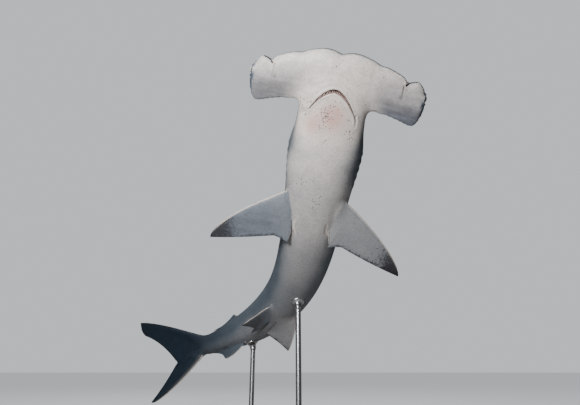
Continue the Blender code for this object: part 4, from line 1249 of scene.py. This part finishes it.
def skin_material(colours):
    """Shark skin: pale below, blue grey above, with specks, dusky tips and a pink throat, and with painted shade and
    painted highlights.
    """
    made, tree, shader = new_material("shark_skin")
    blotches, specks = shared("soft_blotches", blotches_group), shared("small_specks", specks_group)
    denticles = shared("denticle_grain", denticles_group)
    coords = new_node(tree, "ShaderNodeTexCoord").outputs["Object"]
    body = new_node(tree, "ShaderNodeAttribute", attribute_name="body").outputs["Vector"]

    large = group(tree, blotches, Vector=coords, Scale=5.0, Detail=5.0, Contrast=1.5).outputs[0]
    small = group(tree, blotches, Vector=coords, Scale=34.0, Detail=6.0, Contrast=1.6).outputs[0]
    shifted = maths(tree, "MULTIPLY_ADD", maths(tree, "SUBTRACT", large, 0.5), 0.3, mark(tree, "height"))
    shifted = maths(tree, "MULTIPLY_ADD", maths(tree, "SUBTRACT", small, 0.5), 0.1, shifted)
    back = ramped(tree, shifted, 0.36, 0.66)
    grey = ramped(tree, shifted, 0.12, 0.55)

    pale = mixed(tree, large, colours["belly"], colours["belly_shade"])
    pale = mixed(tree, maths(tree, "MULTIPLY", grey, 0.55), pale, colours["flank"])
    dark = mixed(tree, small, colours["back"], colours["back_light"])
    colour = mixed(tree, back, pale, dark)

    # Painted shade: the underside turns to the flank's colour towards the tail.
    rearwards = mark(tree, "rearwards")
    colour = mixed(tree, maths(tree, "MULTIPLY", rearwards, 0.9), colour, colours["flank"])
    # The fins' grey, stronger on the right fins as painted shade.
    colour = mixed(tree, mark(tree, "fin"), colour, colours["flank"])
    # Painted shade: the tail darkens and turns blue towards its end.
    tail_shade = mixed(tree, mark(tree, "tail"), (1.0, 1.0, 1.0), (0.11, 0.17, 0.235))
    colour = mixed(tree, 1.0, colour, tail_shade, "MULTIPLY")
    # Painted shade under the hammer and on the right pectoral fin, in a dark blue grey.
    shade_share = maths(tree, "MULTIPLY", mark(tree, "wing"), 1.15, clamp=True)
    colour = mixed(tree, shade_share, colour, (0.06, 0.078, 0.115))
    grain = group(tree, blotches, Vector=coords, Scale=420.0, Detail=2.0, Contrast=1.6).outputs[0]
    mottle = group(tree, blotches, Vector=coords, Scale=130.0, Detail=3.0, Contrast=1.8).outputs[0]
    uneven = maths(tree, "MULTIPLY_ADD", small, 0.28, 0.52)
    uneven = maths(tree, "MULTIPLY_ADD", mottle, 0.34, uneven)
    uneven = maths(tree, "MULTIPLY_ADD", grain, 0.36, uneven)
    colour = mixed(tree, 1.0, colour, uneven, "MULTIPLY")
    # Lengthwise streaks, laid where the painted shade lies.
    drawn_out = new_node(tree, "ShaderNodeMapping", {"Vector": body, "Scale": (1.3, 0.16, 0.1)})
    streaks = group(tree, blotches, Vector=drawn_out.outputs[0], Scale=1.0, Detail=5.0, Contrast=2.6).outputs[0]
    streaked = maths(tree, "MULTIPLY", mark(tree, "wing"), 1.6, clamp=True)
    shade = maths(tree, "MULTIPLY_ADD", streaks, -0.5, 1.2)
    colour = mixed(tree, streaked, colour, mixed(tree, 1.0, colour, shade, "MULTIPLY"))

    patchy = maths(tree, "MULTIPLY_ADD", mottle, 0.6, maths(tree, "MULTIPLY_ADD", small, 0.6, 0.1))
    blush = maths(tree, "MULTIPLY", mark(tree, "throat"), patchy, clamp=True)
    colour = mixed(tree, maths(tree, "MULTIPLY", blush, 0.9), colour, colours["blush"])
    crowd = maths(tree, "MULTIPLY", mark(tree, "crowd"), 1.1)
    pores = group(tree, specks, Vector=coords, Scale=165.0, Amount=crowd, Size=0.5).outputs[0]
    colour = mixed(tree, maths(tree, "MULTIPLY", pores, 0.95), colour, colours["pore"])
    freckles = group(tree, specks, Vector=coords, Scale=60.0, Amount=0.1, Size=0.19).outputs[0]
    colour = mixed(tree, maths(tree, "MULTIPLY", freckles, 0.55), colour, colours["pore"])

    fine = group(tree, blotches, Vector=coords, Scale=170.0, Detail=3.0, Contrast=2.2).outputs[0]
    ragged = maths(tree, "SUBTRACT", maths(tree, "ADD", fine, small), 1.0)
    tips = ramped(tree, maths(tree, "MULTIPLY_ADD", ragged, 0.45, mark(tree, "tip")), 0.25, 1.0)
    colour = mixed(tree, maths(tree, "MULTIPLY", tips, 0.95), colour, colours["tip"])
    chance = maths(tree, "MAXIMUM", mark(tree, "tip"), maths(tree, "MULTIPLY", mark(tree, "edge"), 0.6))
    stipple = group(tree, specks, Vector=coords, Scale=200.0, Amount=chance, Size=0.6).outputs[0]
    colour = mixed(tree, maths(tree, "MULTIPLY", stipple, 0.75), colour, colours["tip"])
    edges = ramped(tree, maths(tree, "MULTIPLY_ADD", ragged, 0.9, mark(tree, "edge")), 0.55, 1.15)
    colour = mixed(tree, maths(tree, "MULTIPLY", edges, 0.8), colour, colours["tip"])
    # Painted highlight along the fins' front edges and on the ridges beside folds and creases.
    colour = mixed(tree, maths(tree, "MULTIPLY", mark(tree, "front"), 0.75), colour, colours["rim"])

    # Painted shade: near black in the nostrils, the gill slits, the creases and the folds.
    colour = mixed(tree, mark(tree, "opening"), colour, (0.02, 0.018, 0.02))
    # The mouth's inside: its own dark red, made darker as painted shade.
    colour = mixed(tree, mark(tree, "mouth"), colour, colours["mouth"])
    tree.links.new(colour, shader.inputs["Base Color"])

    rough = maths(tree, "MULTIPLY_ADD", small, 0.22, 0.36)
    tree.links.new(rough, shader.inputs["Roughness"])
    shader.inputs["Specular IOR Level"].default_value = 0.45
    shader.inputs["Subsurface Weight"].default_value = 0.0
    height = group(tree, denticles, Vector=coords, Wrinkles=0.8).outputs[0]
    bump(tree, shader, height, 0.35, 0.0012)
    return made


def eye_material(colours):
    """A glassy eye: a dark pupil in a pale iris, which darkens at its rim."""
    made, tree, shader = new_material("shark_eye")
    coords = new_node(tree, "ShaderNodeAttribute", attribute_name="pupil").outputs["Fac"]
    blotches = shared("soft_blotches", blotches_group)
    place_at = new_node(tree, "ShaderNodeTexCoord").outputs["Object"]
    streaks = group(tree, blotches, Vector=place_at, Scale=220.0, Detail=3.0, Contrast=2.0).outputs[0]
    iris = mixed(tree, streaks, colours["iris"], colours["iris_dark"])
    rim = ramped(tree, coords, 0.7, 0.9)
    colour = mixed(tree, rim, iris, (0.02, 0.02, 0.022))
    pupil = ramped(tree, coords, 0.42, 0.36)
    colour = mixed(tree, pupil, colour, (0.004, 0.004, 0.005))
    tree.links.new(colour, shader.inputs["Base Color"])
    shader.inputs["Roughness"].default_value = 0.08
    shader.inputs["Coat Weight"].default_value = 1.0
    shader.inputs["Coat Roughness"].default_value = 0.02
    return made


def tooth_material():
    made, tree, shader = new_material("shark_tooth")
    coords = new_node(tree, "ShaderNodeTexCoord").outputs["Object"]
    tone = group(tree, shared("soft_blotches", blotches_group), Vector=coords, Scale=300.0, Detail=2.0, Contrast=1.5).outputs[0]
    tree.links.new(mixed(tree, tone, (0.46, 0.33, 0.29), (0.32, 0.2, 0.17)), shader.inputs["Base Color"])
    shader.inputs["Roughness"].default_value = 0.25
    return made


def wood_material(colours):
    """Dark stained wood under a satin varnish."""
    made, tree, shader = new_material("stained_wood")
    coords = new_node(tree, "ShaderNodeTexCoord").outputs["Object"]
    grain = group(tree, shared("wood_grain", grain_group), Vector=coords, Scale=1.6)
    colour = mixed(tree, grain.outputs["Bands"], colours["wood"], colours["wood_dark"])
    colour = mixed(tree, maths(tree, "MULTIPLY", grain.outputs["Pores"], 0.7), colour, (0.012, 0.007, 0.005))
    tree.links.new(colour, shader.inputs["Base Color"])
    tree.links.new(maths(tree, "MULTIPLY_ADD", grain.outputs["Pores"], 0.2, 0.28), shader.inputs["Roughness"])
    shader.inputs["Coat Weight"].default_value = 0.4
    shader.inputs["Coat Roughness"].default_value = 0.15
    bump(tree, shader, maths(tree, "SUBTRACT", grain.outputs["Bands"], grain.outputs["Pores"]), 0.2, 0.0006)
    return made


def steel_material():
    """Satin steel, ground round and round."""
    made, tree, shader = new_material("satin_steel")
    coords = new_node(tree, "ShaderNodeTexCoord").outputs["Object"]
    stretched = new_node(tree, "ShaderNodeMapping", {"Vector": coords, "Scale": (30.0, 30.0, 900.0)})
    lines = new_node(tree, "ShaderNodeTexNoise", {"Vector": stretched.outputs[0], "Scale": 1.0, "Detail": 3.0})
    tone = mixed(tree, lines.outputs["Fac"], (0.55, 0.56, 0.57), (0.4, 0.41, 0.42))
    tree.links.new(tone, shader.inputs["Base Color"])
    tree.links.new(maths(tree, "MULTIPLY_ADD", lines.outputs["Fac"], 0.25, 0.2), shader.inputs["Roughness"])
    shader.inputs["Metallic"].default_value = 1.0
    bump(tree, shader, lines.outputs["Fac"], 0.08, 0.0002)
    return made


def paint(obj, look, sharp=None):
    obj.data.materials.clear()
    obj.data.materials.append(look)
    choose(obj)
    if sharp is None:
        bpy.ops.object.shade_smooth()
    else:
        bpy.ops.object.shade_smooth_by_angle(angle=math.radians(sharp))


# Settings


def colour_setting(name, description, default):
    return bpy.props.FloatVectorProperty(
        name=name, description=description, subtype="COLOR", size=3, min=0, max=1, default=default
    )


class SkinColours(bpy.types.PropertyGroup):
    """The colours of the skin."""

    belly: colour_setting("Belly", "The pale underside", (0.64, 0.585, 0.54))
    belly_shade: colour_setting("Belly shade", "Uneven patches of the underside", (0.46, 0.43, 0.415))
    flank: colour_setting("Flank", "Between belly and back, and towards the tail", (0.1, 0.127, 0.158))
    # Also painted over the underside and the fins as shade, towards the tail and on the right fins.
    back: colour_setting("Back", "The dark upper side", (0.058, 0.07, 0.085))
    back_light: colour_setting("Back, lighter", "Lighter patches of the upper side", (0.105, 0.12, 0.138))
    blush: colour_setting("Throat", "The pinkish throat behind the mouth", (0.5, 0.25, 0.2))
    pore: colour_setting("Pores", "Pores and freckles", (0.07, 0.045, 0.045))
    tip: colour_setting("Fin tips", "The dusky tips and rear edges of the fins", (0.018, 0.018, 0.022))
    # The colour of the painted highlight on the fins' front edges and the ridges beside folds.
    rim: colour_setting("Front edges", "The light front edges of the fins", (0.75, 0.66, 0.58))
    # The mouth's own dark red, made darker as painted shade.
    mouth: colour_setting("Mouth", "The inside of the mouth", (0.055, 0.02, 0.02))


class EyeColours(bpy.types.PropertyGroup):
    """The colours of the eyes."""

    iris: colour_setting("Iris", "The light part of the iris", (0.2, 0.19, 0.15))
    iris_dark: colour_setting("Iris, darker", "The streaks of the iris", (0.07, 0.065, 0.055))


class StandColours(bpy.types.PropertyGroup):
    """The colours of the stand's base."""

    wood: colour_setting("Wood", "The stained wood", (0.085, 0.045, 0.026))
    wood_dark: colour_setting("Wood, darker", "The darker grain", (0.03, 0.015, 0.009))


class StageSettings(bpy.types.PropertyGroup):
    """The floor, the light and the camera."""

    floor: colour_setting("Floor", "The pale floor", (0.5, 0.5, 0.5))
    backdrop: colour_setting("Backdrop", "The pale backdrop", (0.86, 0.9, 0.94))
    backdrop_glow: bpy.props.FloatProperty(
        name="Backdrop brightness", description="How bright the backdrop looks", default=0.75, min=0
    )
    floor_glow: bpy.props.FloatProperty(
        name="Floor brightness", description="How much paler the floor looks than it is lit",
        default=0.45, min=0,
    )
    ambient: bpy.props.FloatProperty(
        name="Ambient", description="How much light the backdrop sheds", default=0.08, min=0
    )
    lens: bpy.props.FloatProperty(
        name="Lens", description="Focal length in millimetres on a 36 mm sensor", default=26.07, min=5
    )
    camera_place: bpy.props.FloatVectorProperty(
        name="Camera", description="Where the camera stands", subtype="XYZ", unit="LENGTH",
        size=3, default=(0.0, -1.9, 0.21),
    )
    camera_tilt: bpy.props.FloatProperty(
        name="Camera tilt", description="How far the camera looks up", subtype="ANGLE",
        default=math.radians(22),
    )


def colours_of(settings):
    return {
        key: tuple(getattr(settings, key))
        for key in settings.bl_rna.properties.keys()
        if key not in ("rna_type", "name")
    }


# Operators


class SHARK_OT_skin(bpy.types.Operator):
    """Make the skin, from snout to tail, in one piece"""

    bl_idname = "shark.skin"
    bl_label = "Skin"
    bl_options = {"REGISTER", "UNDO"}

    def execute(self, context):
        core = build_core()
        joined = join_fins(core)
        fair_roots(core, joined)
        refine(core)
        mouth, shaded_openings = press_details(core)
        store_marks(core, joined, mouth, shaded_openings)
        set_points(core, place(points_of(core)))
        paint(core, skin_material(colours_of(context.scene.shark_skin)))
        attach(core, "root")
        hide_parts(*FLESH_NODES)
        return {"FINISHED"}


class SHARK_OT_eyes(bpy.types.Operator):
    """Make both eyes"""

    bl_idname = "shark.eyes"
    bl_label = "Eyes"
    bl_options = {"REGISTER", "UNDO"}

    def execute(self, context):
        look = eye_material(colours_of(context.scene.shark_eyes))
        for word, hand in (("right", 1), ("left", -1)):
            deselect()
            bpy.ops.mesh.primitive_uv_sphere_add(segments=64, ring_count=48, radius=1)
            made = named("eyeball_" + word)
            ball = points_of(made)[:, [0, 2, 1]]
            facing = np.clip(ball[:, 1], -1, 1) * hand
            centre = (EYE_CENTRE[0], EYE_CENTRE[1] * hand, EYE_CENTRE[2])
            store(made, "pupil", np.hypot(ball[:, 0] * 1.25, ball[:, 2]) + (facing < 0) * 2)
            set_points(made, place(ball * EYE_RADIUS * 0.985 + centre))
            choose(made)
            bpy.ops.object.mode_set(mode="EDIT")
            bpy.ops.mesh.select_all(action="SELECT")
            bpy.ops.mesh.normals_make_consistent(inside=False)
            bpy.ops.object.mode_set(mode="OBJECT")
            paint(made, look)
            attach(made, "root")
            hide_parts("eye_" + word)
        return {"FINISHED"}


class SHARK_OT_teeth(bpy.types.Operator):
    """Make the rows of teeth of both jaws"""

    bl_idname = "shark.teeth"
    bl_label = "Teeth"
    bl_options = {"REGISTER", "UNDO"}

    ROWS = (("upper", 38, 0.12, 0.07, 0), ("lower", 38, 0.34, 0.082, 1))

    def execute(self, context):
        look = tooth_material()
        for word, count, length, half_width, back in self.ROWS:
            self.row(word, count, length, half_width, back, look)
        return {"FINISHED"}

    def row(self, word, count, length, half_width, back, look):
        fine = np.linspace(-1, 1, 401) * MOUTH_HALF_WIDTH * 0.86
        line = np.column_stack([mouth_line(fine) + mouth_gap(fine) * back, fine])
        walked = np.concatenate([[0], np.cumsum(np.linalg.norm(np.diff(line, axis=0), axis=1))])
        sides = np.interp(np.linspace(0, walked[-1], count), walked, fine)
        copies = []
        deselect()
        bpy.ops.mesh.primitive_cone_add(vertices=10, radius1=1, radius2=0.45, depth=1)
        first = named("tooth")
        shape = points_of(first)
        shape[:, 2] += 0.5
        for i, side in enumerate(sides):
            station = mouth_line(side) + mouth_gap(side) * back
            ahead = mouth_line(side + 0.01) + mouth_gap(side + 0.01) * back - station
            along = np.array([ahead, 0.01]) / math.hypot(ahead, 0.01)
            inwards = np.array([along[1], -along[0]]) * (1 if back == 0 else -1)
            size = (0.5 + 0.5 * mouth_gap(side) / MOUTH_OPEN) * (0.92 + 0.05 * (i % 3))
            reach = min(length * size, mouth_gap(side) * abs(along[1]) * 0.85) + 0.12
            tip = np.array([*(inwards * reach), 0.02])
            root = np.array([station, side, underside(station, side) + 0.1]) - np.array([*(inwards * 0.12), 0])
            body = (
                root
                + shape[:, :1] * np.array([*along, 0]) * half_width * size
                + shape[:, 1:2] * np.array([0, 0, 1]) * 0.05 * size
                + shape[:, 2:] * tip
            )
            copy = first.copy()
            copy.data = first.data.copy()
            bpy.context.scene.collection.objects.link(copy)
            set_points(copy, place(body))
            copies.append(copy)
        bpy.data.objects.remove(first, do_unlink=True)
        choose(*copies)
        bpy.ops.object.join()
        made = named("teeth_" + word)
        bpy.ops.object.mode_set(mode="EDIT")
        bpy.ops.mesh.select_all(action="SELECT")
        bpy.ops.mesh.normals_make_consistent(inside=False)
        bpy.ops.object.mode_set(mode="OBJECT")
        paint(made, look)
        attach(made, "root")


class SHARK_OT_stand(bpy.types.Operator):
    """Make the stand: the base plate and two rods"""

    bl_idname = "shark.stand"
    bl_label = "Stand"
    bl_options = {"REGISTER", "UNDO"}

    def execute(self, context):
        wood = wood_material(colours_of(context.scene.shark_stand))
        steel = steel_material()
        low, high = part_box("stand_base")
        plate = rounded_plate("stand_plate", low, high)
        self.finish(plate, wood, "stand_base", "stand_wood")
        for word, station in RODS:
            self.post(word, station, steel)
        return {"FINISHED"}

    def post(self, word, station, steel):
        """A rod with a foot, and a pad on a ball joint that lies flat against the belly."""
        low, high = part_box("stand_rod_" + word)
        x, y = (low.x + high.x) / 2, (low.y + high.y) / 2
        belly = place(body_rings(np.arange(station - 3, station + 3, 0.25), 180).reshape(-1, 3))
        near = belly[np.hypot(belly[:, 0] - x, belly[:, 1] - y) < 0.035]
        near = near[near[:, 2] < near[:, 2].min() + 0.05]
        plane = np.column_stack([near[:, :2] - (x, y), np.ones(len(near))])
        slope_x, slope_y, height = np.linalg.lstsq(plane, near[:, 2], rcond=None)[0]
        inwards = Vector((-slope_x, -slope_y, 1))
        joint = height - PAD_AT * inwards.length
        foot = [(radius, low.z + up) for radius, up in FOOT]
        made = turned("stand_post_" + word, x, y, [*foot, (0.012, joint - 0.004), (0.006, joint)])
        pad = turned("pad", 0, 0, PAD)
        turn = np.array(inwards.to_track_quat("Z", "Y").to_matrix())
        set_points(pad, points_of(pad) @ turn.T + (x, y, joint))
        join_solid(made, pad)
        self.finish(made, steel, "stand_rod_" + word, "stand_steel")

    @staticmethod
    def finish(made, look, node, slot):
        paint(made, look, sharp=35)
        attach(made, "root")
        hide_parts(node)


class SHARK_OT_stage(bpy.types.Operator):
    """Make the floor, the light and the camera"""

    bl_idname = "shark.stage"
    bl_label = "Stage"
    bl_options = {"REGISTER", "UNDO"}

    def execute(self, context):
        settings = context.scene.shark_stage
        deselect()
        bpy.ops.mesh.primitive_plane_add(size=600, location=(0, 0, 0))
        floor = named("floor")
        look, tree, shader = new_material("pale_floor")
        shader.inputs["Base Color"].default_value = (*settings.floor, 1)
        shader.inputs["Emission Color"].default_value = (*settings.backdrop, 1)
        shader.inputs["Roughness"].default_value = 0.8
        seen = new_node(tree, "ShaderNodeLightPath").outputs["Is Camera Ray"]
        glow = maths(tree, "MULTIPLY", seen, settings.floor_glow)
        tree.links.new(glow, shader.inputs["Emission Strength"])
        floor.data.materials.append(look)

        world = bpy.data.worlds.new("studio")
        world.use_nodes = True
        tree = world.node_tree
        seen = new_node(tree, "ShaderNodeLightPath").outputs["Is Camera Ray"]
        background = tree.nodes["Background"]
        background.inputs[0].default_value = (*settings.backdrop, 1)
        glow = new_node(
            tree,
            "ShaderNodeMapRange",
            {"Value": seen, "To Min": settings.ambient, "To Max": settings.backdrop_glow},
        )
        tree.links.new(glow.outputs[0], background.inputs[1])
        context.scene.world = world

        self.lamp("key", (-0.6, -1.8, 0.95), (0.15, -0.75, 1.18), 0.5, 40)
        self.lamp("top", (-0.6, 1.4, 3.7), (0, 0.0, 0.9), 1.6, 60)
        sun = bpy.data.lights.new("sun", "SUN")
        sun.energy, sun.angle = 0.5, math.radians(30)
        held = bpy.data.objects.new("sun", sun)
        context.scene.collection.objects.link(held)
        held.rotation_euler = Vector((0.5, 1.0, -1.3)).to_track_quat("-Z", "Y").to_euler()

        camera = bpy.data.cameras.new("camera")
        camera.lens, camera.sensor_width = settings.lens, 36
        held = bpy.data.objects.new("camera", camera)
        context.scene.collection.objects.link(held)
        held.location = settings.camera_place
        held.rotation_euler = (math.pi / 2 + settings.camera_tilt, 0, 0)
        context.scene.camera = held
        return {"FINISHED"}

    @staticmethod
    def lamp(name, at, towards, size, power):
        light = bpy.data.lights.new(name, "AREA")
        light.size, light.energy = size, power
        held = bpy.data.objects.new(name, light)
        bpy.context.scene.collection.objects.link(held)
        held.location = at
        held.rotation_euler = (Vector(towards) - Vector(at)).to_track_quat("-Z", "Y").to_euler()


class SHARK_PT_model(bpy.types.Panel):
    """The shark's colours and the steps that build it"""

    bl_label = "Hammerhead Shark"
    bl_idname = "SHARK_PT_model"
    bl_space_type = "VIEW_3D"
    bl_region_type = "UI"
    bl_category = "Shark"

    def draw(self, context):
        for key, _ in GROUPS:
            settings = getattr(context.scene, key)
            box = self.layout.box()
            for name in colours_or_settings(settings):
                box.prop(settings, name)
        for operator in OPERATORS:
            self.layout.operator(operator.bl_idname)


def colours_or_settings(settings):
    return [key for key in settings.bl_rna.properties.keys() if key not in ("rna_type", "name")]


GROUPS = (
    ("shark_skin", SkinColours),
    ("shark_eyes", EyeColours),
    ("shark_stand", StandColours),
    ("shark_stage", StageSettings),
)
OPERATORS = (SHARK_OT_skin, SHARK_OT_eyes, SHARK_OT_teeth, SHARK_OT_stand, SHARK_OT_stage)


def underside(station, side):
    """How far up the head's underside is, before the mouth is pressed in."""
    reach = abs(side)
    front, rear = profile(HAMMER_FRONT, reach)[0], profile(HAMMER_REAR, reach)[0]
    thickness = profile(HAMMER_THICKNESS, reach)[0]
    share = min(max((station - front) / (rear - front), 0), 1)
    hammer = -thickness * float(foil(np.array(share), 0.42, 0.16)) * (1 - HAMMER_UPPER_SHARE)
    half_width, top, bottom = profile(BODY, station)
    widest = (top + bottom) / 2 - (top - bottom) / 2 * WIDEST_BELOW_MIDDLE
    inside = max(0.0, 1 - (reach / half_width) ** BELLY_SQUARENESS)
    body = widest - (widest - bottom) * inside ** (1 / BELLY_SQUARENESS)
    return float(min(hammer, body))


def register():
    for key, settings in GROUPS:
        bpy.utils.register_class(settings)
        setattr(bpy.types.Scene, key, bpy.props.PointerProperty(type=settings))
    for operator in OPERATORS:
        bpy.utils.register_class(operator)
    bpy.utils.register_class(SHARK_PT_model)


def unregister():
    bpy.utils.unregister_class(SHARK_PT_model)
    for operator in reversed(OPERATORS):
        bpy.utils.unregister_class(operator)
    for key, settings in reversed(GROUPS):
        delattr(bpy.types.Scene, key)
        bpy.utils.unregister_class(settings)


def main():
    register()
    bpy.ops.shark.skin()
    bpy.ops.shark.eyes()
    bpy.ops.shark.teeth()
    bpy.ops.shark.stand()
    bpy.ops.shark.stage()


if __name__ == "__main__":
    main()
